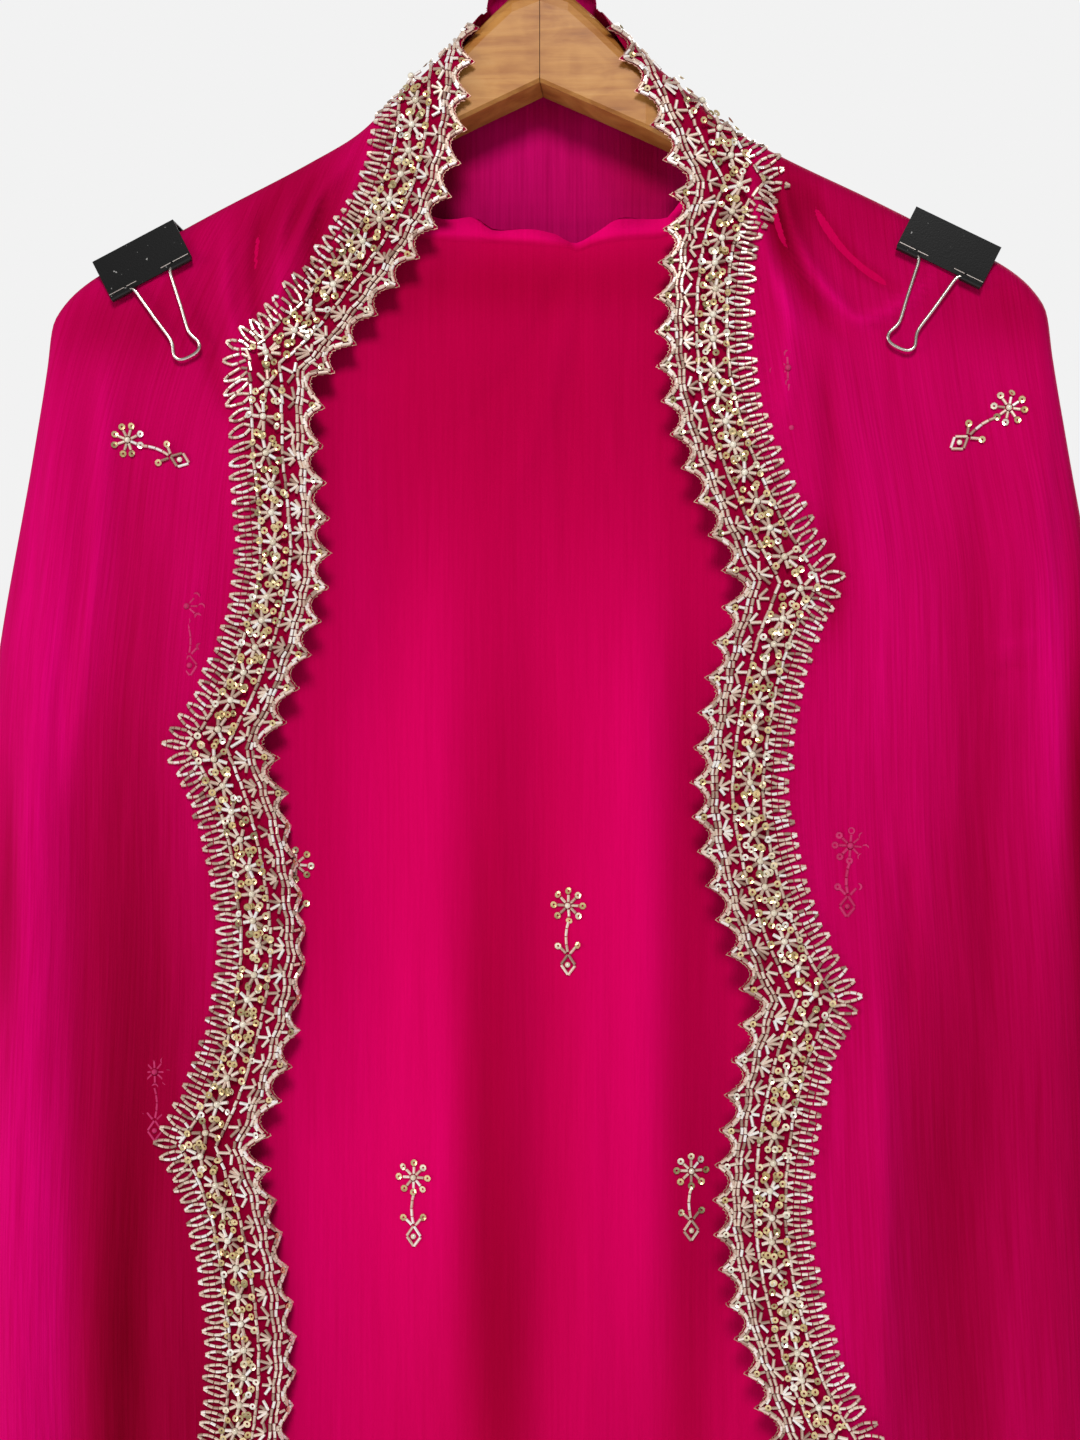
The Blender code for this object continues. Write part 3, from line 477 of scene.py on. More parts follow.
def cloth_shell(name, grid, normals, plan, thickness, material, tone=1.0):
    """A closed thin shell on a grid of points. plan holds each point's distances across and along the cloth.

    The last argument is painted light and shade, how much lighter or darker the cloth is drawn: darker in
    troughs, in creases and under the beadwork, lighter on ridges. It is one number, one for each point, or
    two sets of those, for the outside and the inside.
    """
    rows, columns = grid.shape[:2]
    half = np.broadcast_to(np.asarray(thickness, float) / 2, (rows, columns))[..., None]
    points = np.concatenate([(grid + normals * half).reshape(-1, 3), (grid - normals * half).reshape(-1, 3)])
    index = np.arange(rows * columns).reshape(rows, columns)
    a, b, c, d = index[:-1, :-1], index[:-1, 1:], index[1:, 1:], index[1:, :-1]
    top = points_of(a, d, c, b).reshape(-1, 4)
    e1, e2 = grid[:-1, 1:] - grid[:-1, :-1], grid[1:, :-1] - grid[:-1, :-1]
    facing = np.sum(np.cross(e2, e1) * normals[:-1, :-1], axis=-1)
    if np.median(facing) < 0:
        top = top[:, ::-1]
    low = top[:, ::-1] + rows * columns
    rim = np.concatenate([index[0, :], index[1:, -1], index[-1, -2::-1], index[-2:0:-1, 0]])
    after = np.roll(rim, -1)
    walls = points_of(rim, after, after + rows * columns, rim + rows * columns)
    if np.median(facing) < 0:
        walls = walls[:, ::-1]
    piece = mesh_object(name, points, [top, low, walls])
    shades = np.concatenate([normals.reshape(-1, 3), -normals.reshape(-1, 3)])
    piece.data.normals_split_custom_set_from_vertices(shades.astype(np.float32))
    layer = piece.data.uv_layers.new(name="plan")
    corner_points = np.empty(len(piece.data.loops), np.int32)
    piece.data.loops.foreach_get("vertex_index", corner_points)
    both = np.concatenate([plan.reshape(-1, 2), plan.reshape(-1, 2)])
    layer.uv.foreach_set("vector", both[corner_points].astype(np.float32).ravel())
    shade = np.broadcast_to(np.asarray(tone, float), (2, rows, columns)).ravel()
    tones = piece.data.attributes.new("tone", "FLOAT", "POINT")
    tones.data.foreach_set("value", shade.astype(np.float32))
    piece.data.materials.append(material)
    return piece


class Heap:
    """Many small closed pieces, joined into one mesh. Each has a tint and one of the materials."""

    def __init__(self):
        self.points, self.tints, self.faces, self.count = [], [], [], 0

    def add(self, points, faces, tint, material, is_smooth):
        """points holds n pieces of k points; faces index those k."""
        n, k = points.shape[:2]
        base = self.count + np.arange(n)[:, None] * k
        for face in faces:
            self.faces.append((base + np.array(face)[None, :], material, is_smooth))
        self.points.append(points.reshape(-1, 3))
        self.tints.append(np.repeat(tint, k))
        self.count += n * k

    def build(self, name, materials):
        piece = mesh_object(name, np.concatenate(self.points), [f for f, _, _ in self.faces])
        sizes = [len(f) for f, _, _ in self.faces]
        slots = np.repeat([m for _, m, _ in self.faces], sizes).astype(np.int32)
        shading = np.repeat([s for _, _, s in self.faces], sizes)
        piece.data.polygons.foreach_set("material_index", slots)
        piece.data.polygons.foreach_set("use_smooth", shading)
        layer = piece.data.attributes.new("tint", "FLOAT", "POINT")
        layer.data.foreach_set("value", np.concatenate(self.tints).astype(np.float32))
        for material in materials:
            piece.data.materials.append(material)
        return piece


BEAD, SEQUIN, PEARL, ZARI = 0, 1, 2, 3


def unit(v):
    return v / np.maximum(np.linalg.norm(v, axis=-1, keepdims=True), 1e-12)


def ring(centre, u, v, radius, sides, turn=0.0):
    """Points round a circle in the plane of u and v, one array for each of its sides."""
    angles = [2 * math.pi * (k + turn) / sides for k in range(sides)]
    return [centre + radius * (math.cos(angle) * u + math.sin(angle) * v) for angle in angles]


def square_to(up):
    """Two directions square to up and to each other."""
    side = unit(np.cross(up, np.array([0.31, 0.2, 0.93])))
    return side, np.cross(up, side)


def add_rods(heap, a, b, normal, radius, sides, tint, material=BEAD, sink=0.1):
    """Straight beads from a to b, lying on the surface."""
    axis = unit(b - a)
    side = unit(np.cross(axis, normal))
    up = np.cross(side, axis)
    radius = np.broadcast_to(radius, (len(a),))[:, None]
    rings = []
    for end in (a, b):
        rings += ring(end + normal * radius * (1 - sink), up, side, radius, sides, 0.5)
    faces = [(k, (k + 1) % sides, sides + (k + 1) % sides, sides + k) for k in range(sides)]
    faces += [tuple(range(sides))[::-1], tuple(range(sides, 2 * sides))]
    heap.add(np.stack(rings, axis=1), faces, tint, material, False)


def add_discs(heap, centre, normal, radius, tint, lift, chance, sides=8):
    """Sequins: thin dished rings with a hole, each leaning a little."""
    up = unit(normal + chance.normal(0, 0.16, centre.shape))
    side, other = square_to(up)
    radius = np.broadcast_to(radius, (len(centre),))[:, None]
    centre = centre + normal * np.asarray(lift).reshape(-1, 1)
    rings = []
    for share, height in ((1.0, 0.18), (0.34, 0.05), (0.34, -0.08)):
        rings += ring(centre + radius * height * up, side, other, radius * share, sides)
    faces = []
    for k in range(sides):
        n = (k + 1) % sides
        for a, b in ((0, sides), (2 * sides, 0), (sides, 2 * sides)):
            faces.append((a + k, a + n, b + n, b + k))
    heap.add(np.stack(rings, axis=1), faces, tint, SEQUIN, False)


def add_pearls(heap, centre, normal, radius, tint, sides=10, levels=5):
    side, other = square_to(normal)
    radius = np.broadcast_to(radius, (len(centre),))[:, None]
    centre = centre + normal * radius * 0.85
    points = [centre + normal * radius]
    for polar in np.arange(1, levels) * math.pi / levels:
        middle = centre + radius * math.cos(polar) * normal
        points += ring(middle, side, other, radius * math.sin(polar), sides)
    points.append(centre - normal * radius)
    last = len(points) - 1
    faces = []
    for k in range(sides):
        n = (k + 1) % sides
        faces += [(0, 1 + k, 1 + n), (last, last - sides + n, last - sides + k)]
        for start in range(1, 1 + (levels - 2) * sides, sides):
            faces.append((start + k, start + sides + k, start + sides + n, start + n))
    heap.add(np.stack(points, axis=1), faces, tint, PEARL, True)


def facing(way, grid):
    """Normals of a grid of points that mostly face the front, with way -1, or the back, with way 1."""
    normals = normals_of(grid)
    return normals if np.median(normals[..., 1]) * way > 0 else -normals


# ---------------------------------------------------------------------------------------------------------
# Materials

STREAKS = ((0.0011, 0.05), (0.0046, 0.11))
WEAVE = 0.0006


def new_material(name):
    material = bpy.data.materials.new(name)
    material.use_nodes = True
    return material, material.node_tree.nodes, material.node_tree.nodes["Principled BSDF"]


def put(target, values):
    """Sets a node's inputs and options. An input whose value is another node's output is linked to it."""
    for key, value in values.items():
        if isinstance(value, bpy.types.NodeSocket):
            target.id_data.links.new(value, target.inputs[key])
        elif key in target.inputs.keys():
            target.inputs[key].default_value = value
        else:
            setattr(target, key, value)


def node(nodes, kind, **values):
    made = nodes.new("ShaderNode" + kind)
    put(made, values)
    return made


def noise(nodes, vector, scale=1.0, **values):
    return node(nodes, "TexNoise", Vector=vector, Scale=scale, **values).outputs["Fac"]


def scaled(nodes, vector, scale):
    return node(nodes, "Mapping", Vector=vector, Scale=scale).outputs["Vector"]


def mix(nodes, a, b, factor, data_type="RGBA", blend_type="MIX"):
    made = node(nodes, "Mix", data_type=data_type, blend_type=blend_type, Factor=factor, A=a, B=b)
    return made.outputs["Result"]


def bump(nodes, height, strength, distance, **normal):
    made = node(nodes, "Bump", Strength=strength, Distance=distance, Height=height, **normal)
    return made.outputs["Normal"]


def ramp(nodes, value, stops):
    made = node(nodes, "ValToRGB", Fac=value)
    elements = made.color_ramp.elements
    elements[0].position, elements[0].color = stops[0][0], (*stops[0][1], 1)
    elements[1].position, elements[1].color = stops[-1][0], (*stops[-1][1], 1)
    for place, colour in stops[1:-1]:
        elements.new(place).color = (*colour, 1)
    return made.outputs["Color"]


def chiffon(name, dark, light, crinkle_scale=1.0, relief=1.0, turned=False):
    """Crinkled chiffon: streaks of relief along the length, a fine weave, and a sheen of its own colour."""
    material, nodes, shader = new_material(name)
    plan = node(nodes, "UVMap", uv_map="plan").outputs["UV"]
    streaks = []
    for across, lengthwise in STREAKS:
        close, far = 1 / (across * crinkle_scale), 1 / lengthwise
        stretched = scaled(nodes, plan, (far, close, 1) if turned else (close, far, 1))
        streaks.append(noise(nodes, stretched, Detail=2.0, Roughness=0.55))
    both = mix(nodes, *streaks, 0.35)
    weave = noise(nodes, scaled(nodes, plan, (1 / WEAVE, 1 / WEAVE, 1)), Detail=1.0)
    # The points' painted light and shade multiplies the colour, and its square multiplies the blue, so
    # painted shade is also redder.
    tone = node(nodes, "Attribute", attribute_name="tone").outputs["Fac"]
    bluer = node(nodes, "Math", operation="POWER")
    nodes.id_data.links.new(tone, bluer.inputs[0])
    bluer.inputs[1].default_value = 2.0
    depth = node(nodes, "CombineXYZ", X=tone, Y=tone, Z=bluer.outputs["Value"]).outputs["Vector"]
    # The colour follows the streaks of the relief, lighter on their ridges and darker in their troughs:
    # painted light and shade of the crinkle.
    colour = ramp(nodes, both, [(0.3, dark), (0.7, light)])
    streak_relief = bump(nodes, both, 0.55 * relief, 0.0009)
    put(shader, {
        "Base Color": mix(nodes, colour, depth, 1.0, blend_type="MULTIPLY"),
        "Normal": bump(nodes, weave, 0.25 * relief, 0.0003, Normal=streak_relief),
        "Roughness": 0.62,
        "Specular IOR Level": 0.04,
        "Specular Tint": (1.0, 0.02, 0.25, 1),
        "Sheen Weight": 0.22,
        "Sheen Roughness": 0.35,
        "Sheen Tint": (1.0, 0.01, 0.22, 1),
    })
    return material


def bead_material(name, stops, roughness, metallic=1.0, coat=0.0):
    """Small shiny pieces, each with its own tint."""
    material, nodes, shader = new_material(name)
    colour = ramp(nodes, node(nodes, "Attribute", attribute_name="tint").outputs["Fac"], stops)
    spots = noise(nodes, node(nodes, "TexCoord").outputs["Object"], 900.0, Detail=2.0)
    spotted = mix(nodes, colour, spots, 0.45, blend_type="MULTIPLY")
    put(shader, {"Base Color": mix(nodes, spotted, colour, 0.65), "Metallic": metallic,
                 "Roughness": roughness, "Coat Weight": coat, "Coat Roughness": 0.08})
    return material


def wood_material():
    """Golden brown wood: long grain along the arm, broad darker bands, satin lacquer."""
    material, nodes, shader = new_material("lacquered_wood")
    place = node(nodes, "TexCoord").outputs["Object"]
    warp = node(nodes, "TexNoise", Vector=place, Scale=26.0, Detail=2.0).outputs["Color"]
    warped = mix(nodes, scaled(nodes, place, (14, 60, 150)), warp, 0.3, "VECTOR")
    grain = noise(nodes, warped, 1.6, Detail=5.0, Roughness=0.6, Distortion=0.6)
    bands = noise(nodes, place, 38.0, Detail=3.0, Distortion=1.4)
    stops = [(0.3, (0.15, 0.042, 0.01)), (0.44, (0.34, 0.125, 0.024)), (0.58, (0.46, 0.205, 0.048)),
             (0.74, (0.54, 0.28, 0.085))]
    put(shader, {"Base Color": ramp(nodes, mix(nodes, grain, bands, 0.42), stops), "Roughness": 0.38,
                 "Normal": bump(nodes, grain, 0.12, 0.0004), "Specular IOR Level": 0.25})
    return material


def paint_material():
    """Black paint on spring steel, chipped to bare metal in small spots."""
    material, nodes, shader = new_material("black_paint_on_steel")
    place = node(nodes, "TexCoord").outputs["Object"]
    chipped = ramp(nodes, noise(nodes, place, 420.0, Detail=3.0), [(0.7, (0, 0, 0)), (0.74, (1, 1, 1))])
    peel = noise(nodes, place, 1500.0, Detail=1.0)
    put(shader, {"Base Color": mix(nodes, (0.005, 0.005, 0.005, 1), (0.32, 0.31, 0.3, 1), chipped),
                 "Normal": bump(nodes, peel, 0.15, 0.0002), "Roughness": 0.3, "Specular IOR Level": 0.3})
    return material


def metal_material():
    """Bright nickel plate with faint rubbing marks."""
    material, nodes, shader = new_material("nickel_plate")
    marks = noise(nodes, node(nodes, "TexCoord").outputs["Object"], 60.0, Detail=1.0)
    put(shader, {"Base Color": ramp(nodes, marks, [(0.3, (0.56, 0.5, 0.46)), (0.7, (0.68, 0.63, 0.58))]),
                 "Roughness": ramp(nodes, marks, [(0.3, (0.24, 0.24, 0.24)), (0.7, (0.28, 0.28, 0.28))]),
                 "Metallic": 1.0})
    return material


# The three chiffons are lit and shaded copies of one cloth: the back's is darker and bluer, painted shade of
# the single layer in the hanger's shadow, and the inside panel's is lighter and redder.
CHIFFON = chiffon("fuchsia_chiffon", (0.41, 0.0004, 0.06), (0.52, 0.001, 0.098))
CHIFFON_BACK = chiffon("fuchsia_chiffon_back", (0.38, 0.0014, 0.074), (0.52, 0.0028, 0.112), 1.0, 0.8, True)
CHIFFON_INSIDE = chiffon("fuchsia_chiffon_inside", (0.5, 0.0004, 0.066), (0.56, 0.0006, 0.08), 1.2, 0.3, True)
SHOWING_THROUGH = bead_material(
    "embroidery_under_chiffon", [(0.0, (0.46, 0.004, 0.09)), (1.0, (0.56, 0.022, 0.14))], 0.8, 0.0)
# The near-white top of the beads' ramp is painted glints on the beads with the highest tints; the rest of the
# ramp is their own spread of colour.
BEADS = bead_material(
    "champagne_bugle_beads", [(0.0, (0.34, 0.2, 0.15)), (0.25, (0.7, 0.51, 0.41)), (0.65, (0.9, 0.73, 0.6)),
                              (0.84, (1.0, 0.9, 0.82)), (1.0, (1.0, 0.99, 0.97))], 0.26, 0.25, 0.6)
SEQUINS = bead_material(
    "gold_sequins", [(0.0, (0.36, 0.3, 0.15)), (0.25, (0.66, 0.48, 0.2)), (0.7, (0.88, 0.7, 0.38)),
                     (1.0, (1.0, 0.96, 0.88))], 0.24, 0.5, 0.5)
PEARLS = bead_material("ivory_pearls", [(0.0, (0.7, 0.6, 0.44)), (1.0, (0.9, 0.84, 0.7))], 0.25, 0.0, 0.6)
ZARI_THREAD = bead_material("zari_thread", [(0.0, (0.34, 0.12, 0.1)), (1.0, (0.66, 0.4, 0.28))], 0.42, 0.4)
TRIM = [BEADS, SEQUINS, PEARLS, ZARI_THREAD]
WOOD = wood_material()
PAINT = paint_material()
PLATE = metal_material()

# ---------------------------------------------------------------------------------------------------------
# Cloth: the fronts, the back with its collar, the returns and the turned-up panel

TURN_ANGLES = np.radians((90, 78, 66, 54, 43, 33, 24, 16, 8, 0))
OUTLINE_AT = lengths(OUTLINE)
ROW_STEP = 0.0032
FRONT_COLUMNS = 50
BACK_COLUMNS = 44
RETURN_COLUMNS = 16
# Painted shade on the cloth under the border's beads.
PAINTED_SHADE_UNDER_BORDER = 0.42
FIRST_ROW = 0.004
LAST_ROW = 1.281
FOLD_LEVEL = FOLD_Z + 0.004


def place_columns(start, end, inner_columns):
    """Shares along each row from start to end: even, then by equal turns over the outline."""
    samples = np.linspace(0.0, 1.0, 90) ** 1.5
    line = end[:, None] + (start - end)[:, None] * samples[None, :, None]
    off, _ = nearest_outline(np.abs(line[..., 0]), line[..., 1])
    shares = []
    for k in range(len(start)):
        rising = np.maximum.accumulate(off[k])
        if rising[0] > GAP:
            turned = np.linspace(0.35, 0.0, len(TURN_ANGLES))
        else:
            radius = min(float(cap_radius(np.abs(end[k, 0]), end[k, 1])), rising[-1] * 0.7)
            turned = np.interp(radius * (1 - np.cos(TURN_ANGLES)), rising, samples)
        even = np.linspace(1.0, turned[0], inner_columns + 1)[:-1]
        shares.append(1.0 - np.concatenate([even, turned]))
    return np.array(shares)


def outline_rows():
    """Distances along the outline of the rows that the fronts, the back and the returns share."""
    fold_at = float(np.interp(-FOLD_LEVEL, -OUTLINE[:, 1], OUTLINE_AT))
    upper = np.linspace(FIRST_ROW, fold_at, int((fold_at - FIRST_ROW) / ROW_STEP))
    lower = np.linspace(fold_at, LAST_ROW, int((LAST_ROW - fold_at) / (ROW_STEP * 1.25)))
    return upper, np.concatenate([upper, lower[1:]])


UPPER_ROWS, ALL_ROWS = outline_rows()


def front_grid(side):
    """Rows from the border's teeth to the outline, with their places on the flat cloth and their painted
    light and shade.
    """
    s = np.interp(ALL_ROWS, side["fan"][:, 1], side["fan"][:, 0])
    free = border_place(side, s, np.zeros(len(s)))
    end = along(OUTLINE, ALL_ROWS)
    run = unit(end - free)
    reach = np.linalg.norm(end - free, axis=1)
    start_at = np.minimum(VALLEY, reach * 0.4)
    start = free + run * start_at[:, None]
    shares = place_columns(start, end, FRONT_COLUMNS)
    t = start_at[:, None] + shares * (reach - start_at)[:, None]
    inward, backward = curl(side, np.broadcast_to(s[:, None], t.shape), t)
    flat = free[:, None] + run[:, None] * (t + inward)[..., None]
    retreat, _ = retreat_and_width(side, s)
    across = retreat[:, None] + t
    length = np.broadcast_to(s[:, None], t.shape)
    grid = front_surface(side, flat[..., 0], flat[..., 1], across, length)
    grid[..., 1] = grid[..., 1] + backward
    grid[:, -1, 1] = 0.0
    grid[:, -1, 0] = side["sign"] * end[:, 0]
    grid[:, -1, 2] = end[:, 1]
    w, z = np.abs(grid[..., 0]), grid[..., 2]
    # Painted light and shade of the front: its patches, light on the creases' ridges and shade in their
    # troughs, and painted shade under the border.
    tone = painted_shading_of(side["tones"], w, z) * (1 + CREASE_PAINTED_SHADING * crease_lift(side["creases"], w, z))
    tone = tone * (1 - PAINTED_SHADE_UNDER_BORDER * smooth(BORDER_WIDTH * 0.98, BORDER_WIDTH * 0.72, t))
    return grid, points_of(across, length), tone


def back_rows_grid(rows_z, rows_half, edge_across):
    """Rows straight across the back. edge_across gives each row's distance across the cloth at its ends."""
    start = np.stack([np.zeros(len(rows_z)), rows_z], axis=1)
    end = np.stack([rows_half, rows_z], axis=1)
    shares = place_columns(start, end, BACK_COLUMNS)
    half_x = shares * rows_half[:, None]
    x = np.concatenate([-half_x[:, :0:-1], half_x], axis=1)
    z = np.broadcast_to(rows_z[:, None], x.shape)
    centre_across = COLLAR_TOP_Z - z
    to_edge = smooth(0.25, 1.0, np.abs(x) / rows_half[:, None])
    across = centre_across + (edge_across[:, None] - centre_across) * to_edge
    grid = back_surface(x, z, across, x)
    grid[:, [0, -1], 1] = 0.0
    return grid, points_of(across, x + 3.0)


def distance_along(grid, axis):
    """Distance of each point from the start of its row or column."""
    steps = np.diff(grid, axis=axis, prepend=grid.take([0], axis))
    return np.cumsum(np.linalg.norm(steps, axis=-1), axis=axis)


def hem_thickness(grid, top=False, bottom=False, start=False, end=False):
    """Thickness of a shell with a narrow rolled hem along the named edges."""
    down, over = distance_along(grid, 0), distance_along(grid, 1)
    edges = ((top, down), (bottom, down[-1:] - down), (start, over), (end, over[:, -1:] - over))
    from_edge = np.min([distance for wanted, distance in edges if wanted], axis=0)
    return THREAD + (HEM_THICK - THREAD) * np.exp(-((from_edge / HEM_REACH) ** 4))


def outward_of(rows, sign):
    """Normals along the outline at the given distances along it, in the plane of the cloth."""
    ends = along(OUTLINE, rows)
    square = -unit(np.stack([np.gradient(ends[:, 1]), -np.gradient(ends[:, 0])], axis=1))
    return np.stack([sign * square[:, 0], np.zeros(len(ends)), square[:, 1]], axis=1)


def build_return(name, side, plan, normals):
    """The part of an end that turns round the side to the back. plan and normals are its front's."""
    below = len(UPPER_ROWS) - 1
    half, z = along(OUTLINE, ALL_ROWS)[below:].T
    inner = PANEL_HALF_WIDTH + 0.004 - 0.055 * smooth(FOLD_Z - 0.02, HEM_Z, z)
    shares = place_columns(np.stack([inner, z], axis=1), np.stack([half, z], axis=1), RETURN_COLUMNS)
    w = inner[:, None] + shares * (half - inner)[:, None]
    across = plan[below:, -1, :1] + (half[:, None] - w)
    length = np.broadcast_to(plan[below:, -1, 1:], w.shape)
    points = back_surface(side["sign"] * w, np.broadcast_to(z[:, None], w.shape), across, length)
    points[:, -1, 1] = 0.0
    turned = facing(1, points)
    turned[:, -1] = normals[below:, -1]
    hem = hem_thickness(points, bottom=True, start=True)
    return cloth_shell("cloth_return_" + name, points, turned, points_of(across, length), hem, CHIFFON)


def build_fronts_and_back():
    """The fronts, the back and the returns, whose rows meet at the outline and share their normals there."""
    fronts = {name: front_grid(side) for name, side in SIDES}
    ends = along(OUTLINE, UPPER_ROWS)
    edge_across = np.mean([plan[:len(UPPER_ROWS), -1, 0] for _, plan, _ in fronts.values()], axis=0)
    collar_z = np.linspace(COLLAR_TOP_Z - 0.0006, ends[0, 1] + 0.0022, 9)
    collar_share = 1 - (COLLAR_TOP_Z - collar_z) / (COLLAR_TOP_Z - NECK_Z)
    collar_half = NECK_HALF_WIDTH * np.sin(np.arccos(np.clip(collar_share, 0.0, 1.0)))
    rows_z = np.concatenate([collar_z, ends[:, 1]])
    rows_half = np.concatenate([collar_half, ends[:, 0]])
    across = np.concatenate([np.full(len(collar_z), edge_across[0]), edge_across])
    back, back_plan = back_rows_grid(rows_z, rows_half, across)
    back_normals = facing(1, back)
    for column, sign in ((0, -1.0), (-1, 1.0)):
        back_normals[len(collar_z):, column] = outward_of(UPPER_ROWS, sign)
    x, z = back[..., 0], back[..., 2]
    # Painted light and shade of the back: outside, light on the creases' ridges and shade in their troughs;
    # inside, the patches, mostly painted shade by the collar.
    tone = np.stack([1 + CREASE_PAINTED_SHADING * crease_lift(BACK_CREASES, x, z), painted_shading_of(BACK_PAINTED_SHADING, x, z)])
    hem = hem_thickness(back, top=True)
    made = {"back": cloth_shell("cloth_back", back, back_normals, back_plan, hem, CHIFFON_BACK, tone)}
    for name, side in SIDES:
        grid, plan, tone = fronts[name]
        normals = facing(-1, grid)
        normals[:, -1] = outward_of(ALL_ROWS, side["sign"])
        hem = hem_thickness(grid, bottom=True)
        made["front_" + name] = cloth_shell("cloth_front_" + name, grid, normals, plan, hem, CHIFFON, tone)
        made["return_" + name] = build_return(name, side, plan, normals)
    return made


# The panel's free lip: signed distance from the middle and height of its top and of the taut line below it.
LIP_TOP = np.array([
    (-0.19, -0.195), (-0.143, -0.17), (-0.105, -0.151), (-0.085, -0.147), (-0.062, -0.156),
    (-0.041, -0.164), (-0.031, -0.1636), (-0.0196, -0.17), (-0.006, -0.1694), (0.0047, -0.1706),
    (0.0145, -0.1757), (0.0243, -0.1711), (0.0328, -0.1664), (0.0421, -0.166), (0.0532, -0.1655),
    (0.062, -0.156), (0.085, -0.147), (0.105, -0.151), (0.143, -0.17), (0.19, -0.195),
])
TAUT_LINE = np.array([
    (-0.19, -0.1965), (-0.143, -0.1715), (-0.105, -0.153), (-0.085, -0.149), (-0.062, -0.164),
    (-0.0468, -0.1728), (-0.0196, -0.1749), (0.0064, -0.177), (0.0125, -0.1778), (0.0162, -0.1794),
    (0.0195, -0.1775), (0.0357, -0.1745), (0.0519, -0.1736), (0.066, -0.161), (0.085, -0.149),
    (0.105, -0.153), (0.143, -0.1715), (0.19, -0.1965),
])


def build_panel():
    """The turned-up panel: its free lip, the panel, the bottom fold and the start of the back."""
    x = np.linspace(-PANEL_HALF_WIDTH, PANEL_HALF_WIDTH, 127)
    lip = through(LIP_TOP[:, 0], LIP_TOP[:, 1], x)
    taut = through(TAUT_LINE[:, 0], TAUT_LINE[:, 1], x)
    rows = []
    lean = 0.0035 * np.sin(x * 118.0 + 0.6) + 0.0012 * np.sin(x * 301.0)
    for share in (1.0, 0.82, 0.64, 0.46, 0.3, 0.15):
        z = taut + (lip - taut) * share
        y = panel_y(x, taut) + (0.0014 * share + lean * share ** 2) * smooth(0.075, 0.055, np.abs(x))
        rows.append(points_of(x, y, z))
    shares = np.concatenate([[0.0, 0.002, 0.005, 0.01, 0.017], np.linspace(0.025, 1.0, 118)])
    for share in shares:
        z = taut + (FOLD_Z - taut) * share
        groove = 0.0009 * np.exp(-((share / 0.006) ** 2)) * smooth(0.075, 0.055, np.abs(x))
        rows.append(points_of(x, panel_y(x, z) + groove, z))
    level = np.full(len(x), FOLD_Z)
    off, _ = nearest_outline(np.abs(x), level)
    behind = back_y(np.abs(x), level, off)
    front = panel_y(x, level)
    for angle in np.radians(np.linspace(15, 180, 12)):
        y = (front + behind) / 2 - (behind - front) / 2 * math.cos(angle)
        rows.append(points_of(x, y, FOLD_Z - FOLD_RADIUS * math.sin(angle) + 0 * x))
    rows.append(points_of(x, behind, FOLD_LEVEL + 0 * x))
    grid = np.array(rows)
    normals = normals_of(grid)
    if np.median(normals[20:100, :, 1]) > 0:
        normals = -normals
    down = distance_along(grid, 0)
    across = CUT_WIDTH - down
    plan = points_of(across, np.broadcast_to(x, down.shape) + 3.0)
    hem = hem_thickness(grid, top=True, start=True, end=True)
    # Painted light and shade of the panel: its patches, its creases at a quarter strength, and painted light
    # on the single-layer lip above the taut line, where light comes through.
    tone = painted_shading_of(PANEL_PAINTED_SHADING, grid[..., 0], grid[..., 2])
    tone = tone * (1 + 0.25 * CREASE_PAINTED_SHADING * crease_lift(PANEL_CREASES, grid[..., 0], grid[..., 2]))
    above = smooth(0.0, 0.0035, grid[..., 2] - taut)
    tone = tone + (1.25 - tone) * above
    return cloth_shell("cloth_panel", grid, normals, plan, hem, CHIFFON_INSIDE, tone)


# ---------------------------------------------------------------------------------------------------------
# Beadwork. A pattern is drawn flat and laid by a function that gives points for flat coordinates.

def surface_normal(place, u, v, sign):
    step = 0.0006
    du = place(u + step, v) - place(u - step, v)
    dv = place(u, v + step) - place(u, v - step)
    return unit(np.cross(dv, du)) * sign


